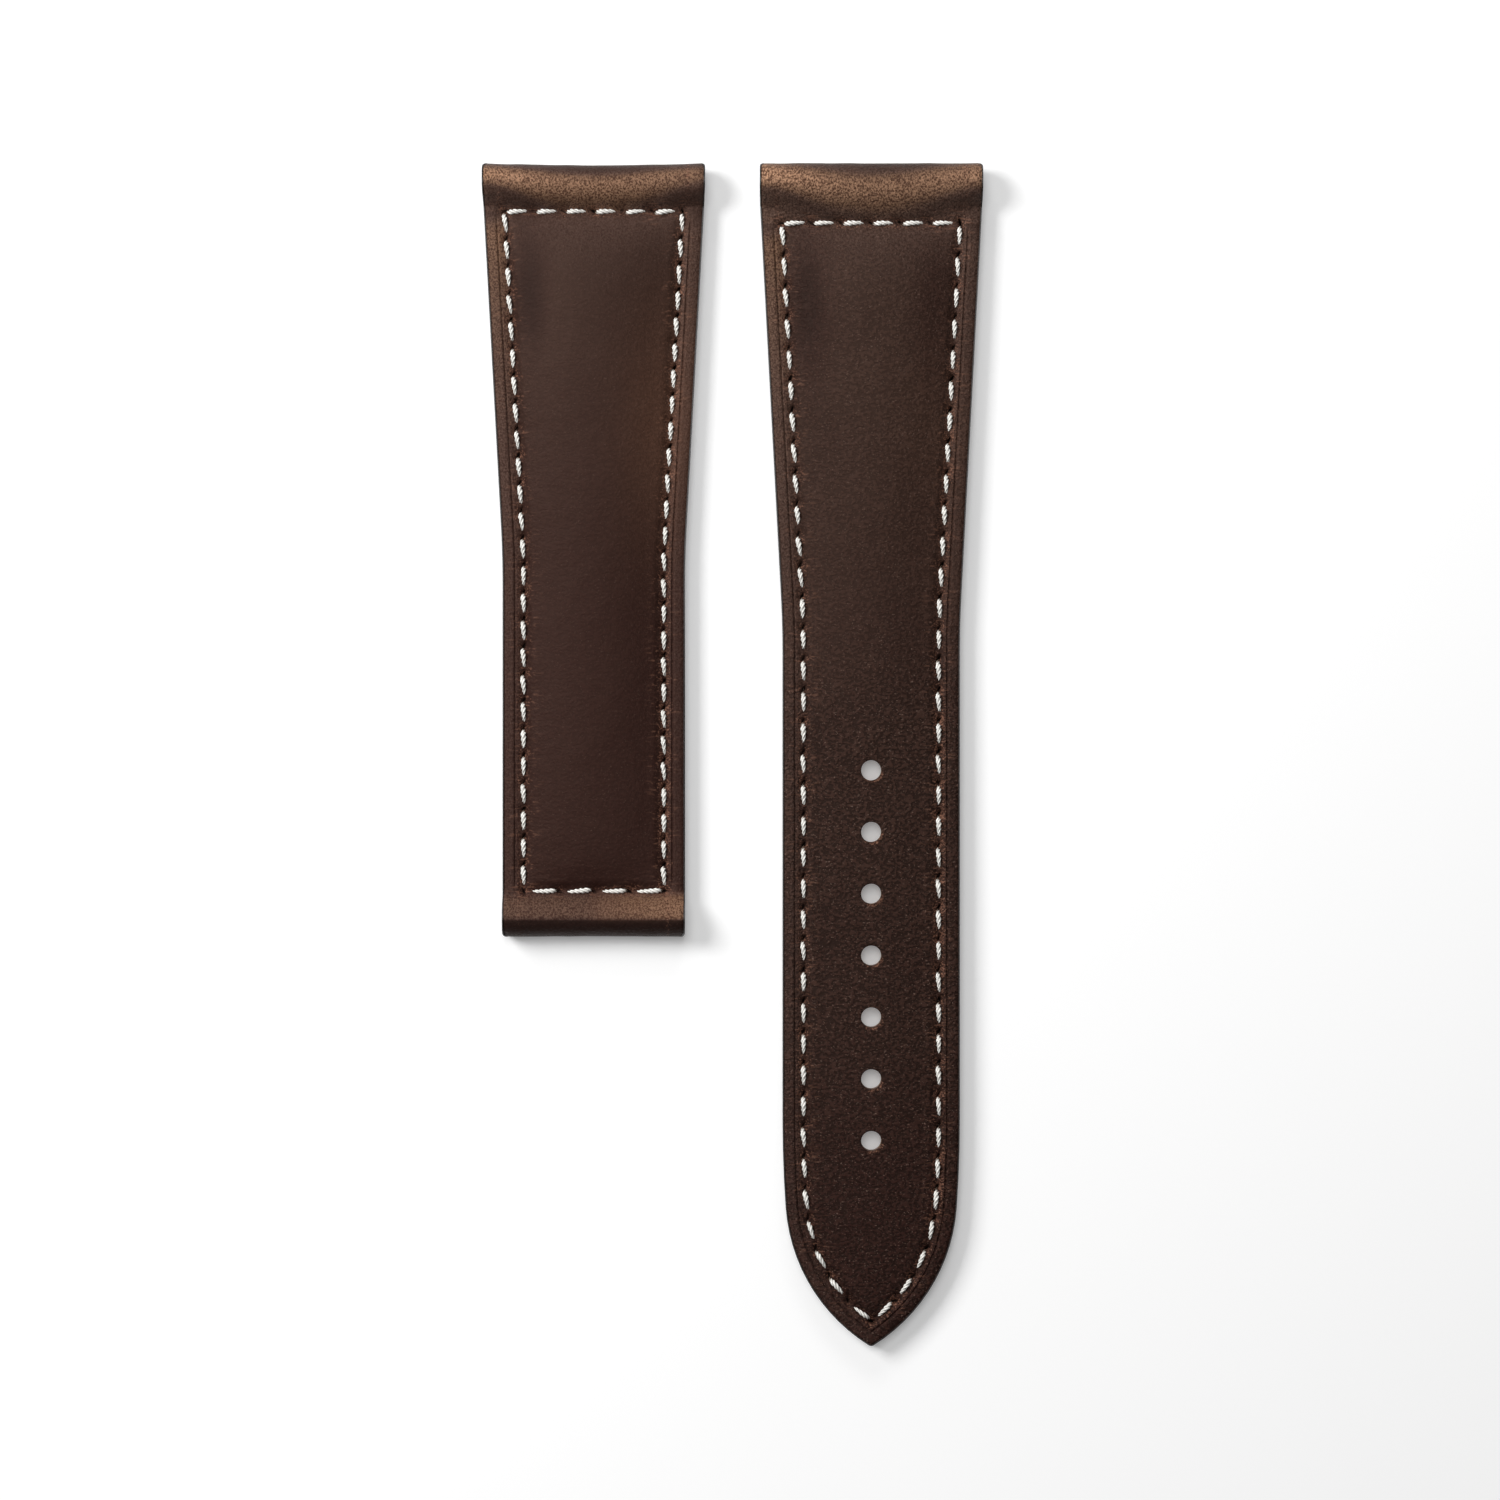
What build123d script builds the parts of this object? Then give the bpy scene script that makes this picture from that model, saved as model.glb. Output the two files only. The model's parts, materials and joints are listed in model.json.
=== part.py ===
"""Two-piece padded leather watch strap, laid flat with its lining down.

The short half carries a bar loop at both ends. The long half carries a bar loop at its watch end, seven
punched holes and a pointed tip. Each half is a laminate: top leather folded round its bar loops, a crowned
padding, a woven tape that also lines the loops, a lining, two threads that lock inside the stack, and a coat
of edge paint. Lengths are millimetres and angles are degrees. +Z is up and the watch ends face +Y.
"""

from build123d import *

import math
import os
from dataclasses import dataclass

os.makedirs("parts", exist_ok=True)

# Plan of the strap
lug_width = 22.0
clasp_width = 18.0
tail_width = 17.5
short_length = 76.4
long_length = 116.8
pair_gap = 5.4
short_taper_start = 2.2
short_taper_end = 38.7
long_taper_start = 3.5
long_taper_end = 45.6
taper_start_radius = 50.0
taper_end_radius = 100.0

# Pointed tip of the long half
tail_blend_length = 8.6
tail_blend_radius = 122.0
tip_shoulder_radius = 17.5
tip_round_radius = 0.5

# Layers, from the table upwards
lining_thickness = 0.7
tape_thickness = 0.2
leather_thickness = 1.1
paint_thickness = 0.12
paint_setback = 0.1

# Bar loops
bar_bore_radius = 0.95
loop_slope_angle = 50.0
loop_foot_radius = 0.6
flap_length = 8.0

# Padding under the top leather
padding_inset = 2.5
padding_ramp = 4.0
padding_edge_rise = 0.12
padding_tip_gap = 0.6
lug_rise = 1.9
clasp_rise = 0.9
tail_rise = 0.45
tail_rise_start = 62.0

# Seam
stitch_inset = 2.07
short_lug_row = 4.75
long_lug_row = 5.9
clasp_row = 4.5
thread_width = 0.5
thread_height = 0.45
bobbin_height = 0.36
thread_spread = 0.04
dip_share = 0.35
bend_share = 0.5
groove_clearance = 0.08
groove_depth = 0.32
lining_groove_depth = 0.4
needle_hole_radius = 0.2
lug_row_stitches = 6
clasp_row_stitches = 4

# Pressed crease line outside the seam
crease_inset = 1.3
crease_width = 0.24
crease_depth = 0.15

# Punched holes
hole_radius = 1.0
hole_count = 7
hole_pitch = 6.1
last_hole_from_tip = 20.25

# How far a cutting tool runs past what it cuts
overrun = 1.0

# Levels that follow from the layers
tape_top = lining_thickness + tape_thickness
margin_top = tape_top + leather_thickness
lock_level = margin_top / 2
tape_ring_radius = bar_bore_radius + tape_thickness
loop_radius = tape_ring_radius + lining_thickness
groove_width = thread_width + 2 * groove_clearance


@dataclass(frozen=True)
class Half:
    """What differs between the two halves of the strap. Distances run from the watch end to the free end."""

    name: str
    centre_x: float
    length: float
    end_width: float
    taper_start: float
    taper_end: float
    lug_row: float
    left_stitches: int
    right_stitches: int
    end_rise: float
    end_rise_start: float
    pointed: bool

    @property
    def plane(self):
        """Plane of the table under this half, with its origin at the middle of the watch end."""
        return Plane(origin=(self.centre_x, long_length / 2, 0))

    @property
    def side_plane(self):
        """Plane through the centre line: its x axis runs to the free end, and its y axis runs up."""
        return Plane(origin=self.plane.origin, x_dir=(0, -1, 0), z_dir=(-1, 0, 0))

    @property
    def end_row(self):
        """Distance of the seam's far cross row, or of the tip where the seam runs round it."""
        return self.length if self.pointed else self.length - clasp_row

    @property
    def loops(self):
        """Distance of each bar loop's axis, with 1 where the loop faces the watch and -1 where not."""
        clasp_loop = [] if self.pointed else [(self.length - loop_radius, -1)]
        return [(loop_radius, 1)] + clasp_loop

    @property
    def lining_end(self):
        """Distance at which the lining stops."""
        return self.length if self.pointed else self.length - flap_length


half_spacing = (lug_width + pair_gap) / 2
short_half = Half(
    name="short",
    centre_x=-half_spacing,
    length=short_length,
    end_width=clasp_width,
    taper_start=short_taper_start,
    taper_end=short_taper_end,
    lug_row=short_lug_row,
    left_stitches=25,
    right_stitches=26,
    end_rise=clasp_rise,
    end_rise_start=short_length - clasp_row - padding_ramp,
    pointed=False,
)
long_half = Half(
    name="long",
    centre_x=half_spacing,
    length=long_length,
    end_width=tail_width,
    taper_start=long_taper_start,
    taper_end=long_taper_end,
    lug_row=long_lug_row,
    left_stitches=36,
    right_stitches=36,
    end_rise=tail_rise,
    end_rise_start=tail_rise_start,
    pointed=True,
)

# The tip's two arcs on one side of the centre line: their angles, centre and where they start
blend_angle = math.degrees(math.asin(tail_blend_length / tail_blend_radius))
blend_drop = tail_blend_radius * (1 - math.cos(math.radians(blend_angle)))
shoulder_half_width = tail_width / 2 - blend_drop
shoulder_centre_x = shoulder_half_width - tip_shoulder_radius * math.cos(math.radians(blend_angle))
nose_reach = math.sqrt((tip_shoulder_radius - tip_round_radius) ** 2 - shoulder_centre_x**2)
shoulder_centre_y = long_length - tip_round_radius - nose_reach
shoulder_start = shoulder_centre_y + tip_shoulder_radius * math.sin(math.radians(blend_angle))
tail_blend_start = shoulder_start - tail_blend_length


def outline(half, inset):
    """Plan of one half at an inset from its sides and tip, run past its folded ends."""
    lug_x = lug_width / 2 - inset
    end_x = half.end_width / 2 - inset
    taper_angle = math.atan((lug_x - end_x) / (half.taper_end - half.taper_start))
    corner_shift = inset * math.tan(taper_angle / 2)
    taper_start_y = corner_shift - half.taper_start
    taper_end_y = corner_shift - half.taper_end
    last_y = -tail_blend_start if half.pointed else -(half.length + overrun)
    with BuildSketch() as plan:
        with BuildLine():
            side = Polyline(
                (0, overrun),
                (lug_x, overrun),
                (lug_x, taper_start_y),
                (end_x, taper_end_y),
                (end_x, last_y),
            )
            if half.pointed:
                shoulder_radius = tip_shoulder_radius - inset
                end_angle = math.degrees(math.acos(-shoulder_centre_x / shoulder_radius))
                blend = JernArc(side @ 1, (0, -1), tail_blend_radius - inset, -blend_angle)
                JernArc(blend @ 1, blend % 1, shoulder_radius, blend_angle - end_angle)
            else:
                Line(side @ 1, (0, last_y))
            mirror(about=Plane.YZ)
        make_face()
        corners = plan.vertices().filter_by_position(Axis.Y, taper_start_y, taper_start_y)
        fillet(corners, taper_start_radius - inset)
        corners = plan.vertices().filter_by_position(Axis.Y, taper_end_y, taper_end_y)
        fillet(corners, taper_end_radius + inset)
        if half.pointed and inset < tip_round_radius:
            fillet(plan.vertices().sort_by(Axis.Y)[0], tip_round_radius - inset)
    return plan.sketch


def strip(half, inset, start, stop):
    """Plan of what lies inset from the sides and tip, between two distances from the watch end."""
    with BuildSketch() as plan:
        add(outline(half, inset))
        with Locations((0, -(start + stop) / 2)):
            Rectangle(lug_width, stop - start, mode=Mode.INTERSECT)
    return plan.sketch


def side_band(half, inset, width, start, stop):
    """Plan of a band of a given width that follows the sides and tip, centred on an inset."""
    with BuildSketch() as plan:
        add(strip(half, inset - width / 2, start, stop))
        add(strip(half, inset + width / 2, start, stop), mode=Mode.SUBTRACT)
    return plan.sketch


def seam_band(half):
    """Plan of the channel that the thread lies in, a closed ring."""
    edge = groove_width / 2
    with BuildSketch() as plan:
        add(strip(half, stitch_inset - edge, half.lug_row - edge, half.end_row + edge))
        inside = strip(half, stitch_inset + edge, half.lug_row + edge, half.end_row - edge)
        add(inside, mode=Mode.SUBTRACT)
    return plan.sketch


def side_points(half, count):
    """Evenly spaced needle holes down the right side, from the watch-end row to the end row or tip."""
    edges = strip(half, stitch_inset, half.lug_row, half.end_row).edges()
    side = Wire(edges.filter_by_position(Axis.X, stitch_inset, lug_width))
    points = [side @ (index / count) for index in range(count + 1)]
    return sorted(points, key=lambda point: -point.Y)


def between(start, end, count):
    """Needle holes that divide a straight row into a number of stitches, without its two ends."""
    return [start + (end - start) * (index / count) for index in range(1, count)]


def seam_points(half):
    """Needle holes in order round the closed seam."""
    right = side_points(half, half.right_stitches)
    left = [Vector(-point.X, point.Y) for point in side_points(half, half.left_stitches)]
    points = between(left[0], right[0], lug_row_stitches) + right
    if half.pointed:
        left.pop()
    else:
        points += between(right[-1], left[-1], clasp_row_stitches)
    return points + left[::-1]


def half_width(half, distance, inset):
    """Half the width at a distance from the watch end, less an inset measured square to the side."""
    if half.pointed and distance > shoulder_start:
        rise = distance - shoulder_centre_y
        return shoulder_centre_x + math.sqrt((tip_shoulder_radius - inset) ** 2 - rise**2)
    if half.pointed and distance > tail_blend_start:
        rise = distance - tail_blend_start
        return tail_width / 2 - tail_blend_radius + math.sqrt((tail_blend_radius - inset) ** 2 - rise**2)
    share = (distance - half.taper_start) / (half.taper_end - half.taper_start)
    share = min(max(share, 0), 1)
    return (lug_width + share * (half.end_width - lug_width)) / 2 - inset


def crown(half, base):
    """Lens-shaped body that swells above a base level between the seam rows."""
    first = half.lug_row + padding_inset - stitch_inset
    if half.pointed:
        reach = math.sqrt((tip_shoulder_radius - padding_inset) ** 2 - shoulder_centre_x**2)
        last = shoulder_centre_y + reach - padding_tip_gap
    else:
        last = half.end_row - padding_inset + stitch_inset
    ramp_shares = (0, 0.15, 0.35, 0.65, 1)
    stations = [first + share * padding_ramp for share in ramp_shares]
    stations += [last - share * padding_ramp for share in ramp_shares]
    stations += [half.taper_end, half.end_rise_start]
    if half.pointed:
        stations += [tail_blend_start, shoulder_start, (shoulder_start + last) / 2]
    with BuildPart() as body:
        for station in sorted(set(stations)):
            fall = min((station - first) / (half.end_rise_start - first), 1)
            ramp_in = min((station - first) / padding_ramp, 1)
            ramp_out = min((last - station) / padding_ramp, 1)
            swell = math.sin(math.radians(90 * ramp_in)) * math.sin(math.radians(90 * ramp_out))
            rise = padding_edge_rise + swell * (lug_rise + fall * (half.end_rise - lug_rise))
            edge = half_width(half, station, padding_inset)
            across = Plane(
                origin=half.plane.origin + Vector(0, -station, base),
                x_dir=(1, 0, 0),
                z_dir=(0, -1, 0),
            )
            with BuildSketch(across):
                with BuildLine():
                    Line((-edge, 0), (edge, 0))
                    ThreePointArc((-edge, 0), (0, rise), (edge, 0))
                make_face()
        loft(ruled=True)
    return body.part


def slab_side(half, bottom, top, start, stop):
    """Side view of a flat layer between two levels and two distances from the watch end."""
    with BuildSketch() as side:
        with Locations(((start + stop) / 2, (bottom + top) / 2)):
            Rectangle(stop - start, top - bottom)
    return side.sketch


def loop_side(distance, facing):
    """Side view of a bar loop and its flap: a round nose that slopes down to the margin level."""
    slope = math.radians(loop_slope_angle)
    shoulder = (loop_radius * math.sin(slope), loop_radius * (1 + math.cos(slope)))
    crest = (loop_radius * math.sin(slope / 2), loop_radius * (1 + math.cos(slope / 2)))
    foot_x = shoulder[0] + (shoulder[1] - margin_top) / math.tan(slope)
    flap_x = flap_length - loop_radius
    with BuildSketch() as side:
        with BuildLine():
            ThreePointArc((0, 0), (-loop_radius, loop_radius), (0, 2 * loop_radius))
            ThreePointArc((0, 2 * loop_radius), crest, shoulder)
            Polyline(shoulder, (foot_x, margin_top), (flap_x, margin_top), (flap_x, 0), (0, 0))
        make_face()
        foot = side.vertices().filter_by_position(Axis.X, foot_x, foot_x)
        fillet(foot, loop_foot_radius)
    turned = side.sketch if facing > 0 else side.sketch.mirror(Plane.YZ)
    return Pos(distance, 0) * turned


def layer_ends(half):
    """Distances at which the layers between the top leather and the lining start and stop."""
    start = loop_radius + tape_ring_radius / 2
    return start, half.length if half.pointed else half.length - start


def tape_side(half, bored):
    """Side view of the tape: a flat run that ends in a ring round each bar bore."""
    with BuildSketch() as side:
        add(slab_side(half, lining_thickness, tape_top, *layer_ends(half)))
        with Locations(*[(distance, loop_radius) for distance, facing in half.loops]):
            Circle(tape_ring_radius)
            if bored:
                Circle(bar_bore_radius, mode=Mode.SUBTRACT)
    return side.sketch


def inner_plan(half, start=0, stop=None):
    """Plan of the layers inside the edge paint."""
    return strip(half, paint_thickness, start, half.length if stop is None else stop)


def stitch(half, start, end, seat, height, facing):
    """One arched run of thread between two needle holes, seated on a level and facing up or down."""
    run = end - start
    first = needle_hole_radius / 2
    last = run.length - first
    dip = height * dip_share
    profile = Plane(
        origin=half.plane.origin + start + Vector(0, 0, seat),
        x_dir=run,
        z_dir=run.cross(Vector(0, 0, facing)),
    )
    with BuildPart() as bar:
        with BuildSketch(profile):
            with BuildLine():
                Polyline((first, dip), (first, 0), (last, 0), (last, dip))
                ThreePointArc((last, dip), ((first + last) / 2, height), (first, dip))
            make_face()
        extrude(amount=thread_width / 2, both=True)
    return bar.part


def make_thread(half, seat, height, facing):
    """Thread that runs from hole to hole and dips in each one to the level where the two threads lock."""
    points = seam_points(half)
    runs = [
        stitch(half, start, end, seat, height, facing)
        for start, end in zip(points, points[1:] + points[:1])
    ]
    with BuildPart() as thread:
        add(runs)
        with BuildSketch(half.plane.offset(seat)):
            with Locations(*points):
                Circle(thread_width / 2 + thread_spread)
        extrude(amount=facing * height * bend_share)
        with BuildSketch(half.plane.offset(lock_level)):
            with Locations(*points):
                Circle(needle_hole_radius)
        extrude(amount=seat - lock_level)
    return thread


def needle_plan(half):
    """Plan of the needle holes."""
    with BuildSketch() as plan:
        with Locations(*seam_points(half)):
            Circle(needle_hole_radius)
    return plan.sketch


def strap_hole_pins(half):
    """Punches for the row of strap holes, one for each hole of the long half."""
    if not half.pointed:
        return []
    last = half.length - last_hole_from_tip
    centres = [(0, index * hole_pitch - last) for index in range(hole_count)]
    with BuildPart() as pins:
        with BuildSketch(half.plane.offset(-overrun)):
            with Locations(*centres):
                Circle(hole_radius)
        extrude(amount=margin_top + lug_rise + 2 * overrun)
    return pins.part.solids()


def make_top_leather(half):
    """Leather that shows: it covers the crown, wraps each bar bore and returns underneath as a flap."""
    padding_space = crown(half, tape_top)
    swell = crown(half, margin_top)
    with BuildPart() as leather:
        with BuildSketch(half.side_plane):
            add(slab_side(half, tape_top, margin_top, *layer_ends(half)))
            add([loop_side(distance, facing) for distance, facing in half.loops])
            add(tape_side(half, bored=False), mode=Mode.SUBTRACT)
        extrude(amount=lug_width, both=True)
        with BuildSketch(half.plane):
            add(inner_plan(half))
        extrude(amount=margin_top + lug_rise + overrun, mode=Mode.INTERSECT)
        add(swell)
        add(padding_space, mode=Mode.SUBTRACT)
        with BuildSketch(half.plane):
            add(seam_band(half))
        extrude(amount=lining_groove_depth, mode=Mode.SUBTRACT)
        with BuildSketch(half.plane.offset(margin_top - groove_depth)):
            add(seam_band(half))
        extrude(amount=thread_height + groove_clearance, mode=Mode.SUBTRACT)
        with BuildSketch(half.plane.offset(margin_top)):
            add(side_band(half, crease_inset, crease_width, half.lug_row, half.end_row))
        extrude(amount=-crease_depth, mode=Mode.SUBTRACT)
        with BuildSketch(half.plane):
            add(needle_plan(half))
        extrude(amount=margin_top, mode=Mode.SUBTRACT)
        for pin in strap_hole_pins(half):
            add(pin, mode=Mode.SUBTRACT)
    return leather


def make_padding(half):
    """Crowned filler between the tape and the top leather."""
    body = crown(half, tape_top)
    with BuildPart() as padding:
        add(body)
        for pin in strap_hole_pins(half):
            add(pin, mode=Mode.SUBTRACT)
    return padding


def make_tape(half):
    """Woven tape that keeps the strap from stretching and lines each bar bore."""
    with BuildPart() as tape:
        with BuildSketch(half.side_plane):
            add(tape_side(half, bored=True))
        extrude(amount=lug_width, both=True)
        with BuildSketch(half.plane):
            add(inner_plan(half))
        extrude(amount=2 * loop_radius, mode=Mode.INTERSECT)
        with BuildSketch(half.plane):
            add(needle_plan(half))
        extrude(amount=margin_top, mode=Mode.SUBTRACT)
        for pin in strap_hole_pins(half):
            add(pin, mode=Mode.SUBTRACT)
    return tape


def make_lining(half):
    """Leather against the wrist, butted to the flaps of the top leather."""
    with BuildPart() as lining:
        with BuildSketch(half.plane):
            add(inner_plan(half, flap_length, half.lining_end))
        extrude(amount=lining_thickness)
        with BuildSketch(half.plane):
            add(seam_band(half))
        extrude(amount=lining_groove_depth, mode=Mode.SUBTRACT)
        with BuildSketch(half.plane):
            add(needle_plan(half))
        extrude(amount=margin_top, mode=Mode.SUBTRACT)
        for pin in strap_hole_pins(half):
            add(pin, mode=Mode.SUBTRACT)
    return lining


def make_edge_paint(half):
    """Thin coat on the cut sides and round the ends of each bar bore, set back from the underside."""
    with BuildPart() as paint:
        with BuildSketch(half.side_plane):
            add(slab_side(half, 0, margin_top, *layer_ends(half)))
            add([loop_side(distance, facing) for distance, facing in half.loops])
            with Locations(*[(distance, loop_radius) for distance, facing in half.loops]):
                Circle(bar_bore_radius, mode=Mode.SUBTRACT)
        extrude(amount=lug_width, both=True)
        with BuildSketch(half.plane.offset(paint_setback)):
            add(side_band(half, paint_thickness / 2, paint_thickness, 0, half.length))
        extrude(amount=2 * loop_radius, mode=Mode.INTERSECT)
    return paint


def save(piece, name):
    """Labels a finished piece and writes it to its own file."""
    piece.part.label = name
    export_step(piece.part, f"parts/{name}.step")
    print(name, len(piece.part.solids()), "solid(s)", round(piece.part.volume, 2), "mm3")


for half in (short_half, long_half):
    save(make_top_leather(half), f"{half.name}_top_leather")
    save(make_padding(half), f"{half.name}_padding")
    save(make_tape(half), f"{half.name}_tape")
    save(make_lining(half), f"{half.name}_lining")
    save(make_thread(half, margin_top - groove_depth, thread_height, 1), f"{half.name}_needle_thread")
    save(make_thread(half, lining_groove_depth, bobbin_height, -1), f"{half.name}_bobbin_thread")
    save(make_edge_paint(half), f"{half.name}_edge_paint")
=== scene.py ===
"""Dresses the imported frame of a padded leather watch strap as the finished, photographed strap."""

# %% [markdown]
# # A padded leather watch strap in two halves
# The imported model holds the strap's construction: two halves, each a sandwich of leather, padding, tape and
# lining held by a seam. It is the fixed frame. This notebook models what the eye sees around it: calf leather
# that swells over its padding, twisted thread that dips from hole to hole, painted edges and a soft studio.
#
# The box round the bare frame is kept first, so that the dressed strap's box can be printed beside it at the end.
# The box round the bare frame is kept first, because the dressed strap must stay inside nearly the same box.

# %% Load the frame
import json
import math
from dataclasses import dataclass
from types import SimpleNamespace

import bmesh
import bpy
import mathutils
import numpy as np
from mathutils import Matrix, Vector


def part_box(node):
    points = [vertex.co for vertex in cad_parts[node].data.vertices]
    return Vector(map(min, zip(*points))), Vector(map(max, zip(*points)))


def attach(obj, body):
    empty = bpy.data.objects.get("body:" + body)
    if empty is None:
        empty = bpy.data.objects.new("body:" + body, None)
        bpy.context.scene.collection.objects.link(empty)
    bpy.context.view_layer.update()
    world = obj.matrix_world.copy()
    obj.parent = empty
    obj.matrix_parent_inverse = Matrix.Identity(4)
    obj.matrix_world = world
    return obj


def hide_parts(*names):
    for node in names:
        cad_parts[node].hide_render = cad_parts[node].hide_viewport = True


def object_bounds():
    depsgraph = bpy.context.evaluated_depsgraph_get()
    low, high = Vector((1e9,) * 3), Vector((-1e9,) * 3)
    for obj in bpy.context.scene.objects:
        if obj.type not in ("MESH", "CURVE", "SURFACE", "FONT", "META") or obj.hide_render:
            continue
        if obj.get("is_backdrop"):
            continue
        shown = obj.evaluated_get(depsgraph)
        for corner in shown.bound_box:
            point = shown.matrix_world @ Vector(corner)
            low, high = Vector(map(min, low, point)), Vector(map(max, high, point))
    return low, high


MM = 0.001
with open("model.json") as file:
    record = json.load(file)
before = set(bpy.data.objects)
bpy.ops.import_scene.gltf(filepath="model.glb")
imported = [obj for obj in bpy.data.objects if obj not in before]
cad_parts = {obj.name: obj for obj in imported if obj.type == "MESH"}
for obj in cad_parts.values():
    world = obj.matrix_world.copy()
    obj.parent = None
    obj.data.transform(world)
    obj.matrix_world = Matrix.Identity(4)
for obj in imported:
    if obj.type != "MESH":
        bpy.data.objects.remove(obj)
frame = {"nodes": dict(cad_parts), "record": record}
cad_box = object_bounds()
mounts = {mount["name"]: mount for mount in frame["record"]["mounts"]}
scene = bpy.context.scene
print("frame", [round(side / MM, 2) for side in cad_box[1] - cad_box[0]], "mm,", len(frame["nodes"]), "nodes")

# %% [markdown]
# ## Camera
# The strap was photographed from straight above through a long lens, so its sides show hardly any
# perspective. The picture's frame is 148.65 mm wide at the table, and its middle lies a little to the right
# of the strap's own middle.

# %% Place the camera
VIEW_WIDTH = 148.65 * MM
VIEW_SHIFT_X = 1.73 * MM
VIEW_SHIFT_Y = 0.45 * MM
LENS = 135
SENSOR = 36

middle = (cad_box[0] + cad_box[1]) / 2
camera_data = bpy.data.cameras.new("camera")
camera_data.lens = LENS
camera_data.sensor_width = SENSOR
camera_data.clip_start = 0.01
camera = bpy.data.objects.new("camera", camera_data)
camera.location = (middle.x + VIEW_SHIFT_X, middle.y + VIEW_SHIFT_Y, VIEW_WIDTH * LENS / SENSOR)
scene.collection.objects.link(camera)
scene.camera = camera
print("camera", round(camera.location.z, 3), "m above the table")

# %% [markdown]
# ## Colours and nodes
# Colours are written as they look on a screen and turned to linear light by one function. One more function
# adds a node with its settings and its links, so that each finish below reads as a short recipe. The settings
# that most recipes share have a name.

# %% Define the colour and node helpers
TIMES = {"operation": "MULTIPLY"}
TIMES_PLUS = {"operation": "MULTIPLY_ADD"}
PLUS = {"operation": "ADD"}
BLEND = {"data_type": "RGBA"}
SMOOTH = {"interpolation_type": "SMOOTHSTEP"}


def linear(code):
    """Linear colour of an sRGB hex code."""
    parts = [int(code[start : start + 2], 16) / 255 for start in (1, 3, 5)]
    return tuple(c / 12.92 if c <= 0.04045 else ((c + 0.055) / 1.055) ** 2.4 for c in parts) + (1.0,)


def add_node(tree, kind, inputs=None, **settings):
    """Adds a node and feeds its inputs from values, hex colours, sockets or the working output of nodes."""
    node = tree.nodes.new(kind)
    for key, value in settings.items():
        setattr(node, key, value)
    for key, value in (inputs or {}).items():
        if isinstance(value, bpy.types.Node):
            value = next(socket for socket in value.outputs if socket.enabled)
        if isinstance(value, bpy.types.NodeSocket):
            tree.links.new(value, node.inputs[key])
        else:
            node.inputs[key].default_value = linear(value) if str(value).startswith("#") else value
    return node


def new_material(name):
    """A material with an empty node tree, and the object's own coordinates in that tree."""
    material = bpy.data.materials.new(name)
    material.use_nodes = True
    tree = material.node_tree
    tree.nodes.clear()
    return material, tree, tree.nodes.new("ShaderNodeTexCoord").outputs["Object"]


print("linear mid grey", round(linear("#808080")[0], 3))

# %% [markdown]
# ## Studio
# The table is a white sheet that keeps a soft shadow. A broad key light stands behind the watch ends, to the
# left, so that the folded loops catch it and the shadow falls to the lower right. A weak overhead light and a
# pale world keep the leather readable. The table's white comes from its own camera-ray glow, not from more
# light on the leather.

# %% Build the table and the lights
TABLE_SIZE = 1.6
TABLE_WHITE = "#f4f4f4"
TABLE_GLOW = 0.2
WORLD_LEVEL = 0.12
LIGHT_AIM = mathutils.Vector((0, 0.02, 0))
# Each light's name, place and size in metres, and power in watts
LIGHTS = (
    ("key_softbox", (-0.31, 0.17, 0.31), (0.2, 0.2), 1.75),
    ("back_softbox", (0.0, 0.33, 0.20), (0.2, 0.1), 0.3),
    ("overhead_card", (-0.05, 0.15, 0.7), (0.3, 0.3), 1.5),
)


def make_table():
    """A white table top whose white reads as paper white to the camera."""
    material, tree, _ = new_material("white_table_paper")
    path = add_node(tree, "ShaderNodeLightPath").outputs
    rays = {0: path["Is Camera Ray"], 1: path["Is Glossy Ray"]}
    seen = add_node(tree, "ShaderNodeMath", rays, operation="MAXIMUM")
    strength = add_node(tree, "ShaderNodeMath", {0: seen, 1: TABLE_GLOW}, **TIMES)
    glow = add_node(tree, "ShaderNodeEmission", {"Color": "#ffffff", "Strength": strength})
    paper = add_node(tree, "ShaderNodeBsdfDiffuse", {"Color": TABLE_WHITE})
    both = add_node(tree, "ShaderNodeAddShader", {0: paper, 1: glow})
    add_node(tree, "ShaderNodeOutputMaterial", {"Surface": both})
    half = TABLE_SIZE / 2
    corners = [(-half, -half, 0), (half, -half, 0), (half, half, 0), (-half, half, 0)]
    mesh = bpy.data.meshes.new("table")
    mesh.from_pydata(corners, [], [(0, 1, 2, 3)])
    mesh.materials.append(material)
    table = bpy.data.objects.new("table", mesh)
    scene.collection.objects.link(table)
    table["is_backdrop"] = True


def add_light(name, place, size, watts):
    """A soft rectangular light, aimed at the strap's upper half."""
    data = bpy.data.lights.new(name, "AREA")
    data.shape = "RECTANGLE"
    data.size, data.size_y = size
    data.energy = watts
    light = bpy.data.objects.new(name, data)
    light.location = place
    light.rotation_mode = "QUATERNION"
    light.rotation_quaternion = (light.location - LIGHT_AIM).to_track_quat("Z", "Y")
    scene.collection.objects.link(light)


make_table()
for light in LIGHTS:
    add_light(*light)
world = bpy.data.worlds.new("studio_air")
scene.world = world
world.use_nodes = True
world.node_tree.nodes["Background"].inputs["Color"].default_value = (1, 1, 1, 1)
world.node_tree.nodes["Background"].inputs["Strength"].default_value = WORLD_LEVEL
scene.view_settings.view_transform = "Standard"
print("studio: table and", len(LIGHTS), "lights")

# %% [markdown]
# ## Plan of each half
# A half is described from its watch end down: how wide it is at any distance, and where its folds and seam
# rows lie. Lengths come from the frame's boxes and mounts, in millimetres here, and the rest are the sizes
# that the strap is cut to. The padding's rise falls to its lowest where the level stretch begins.

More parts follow.
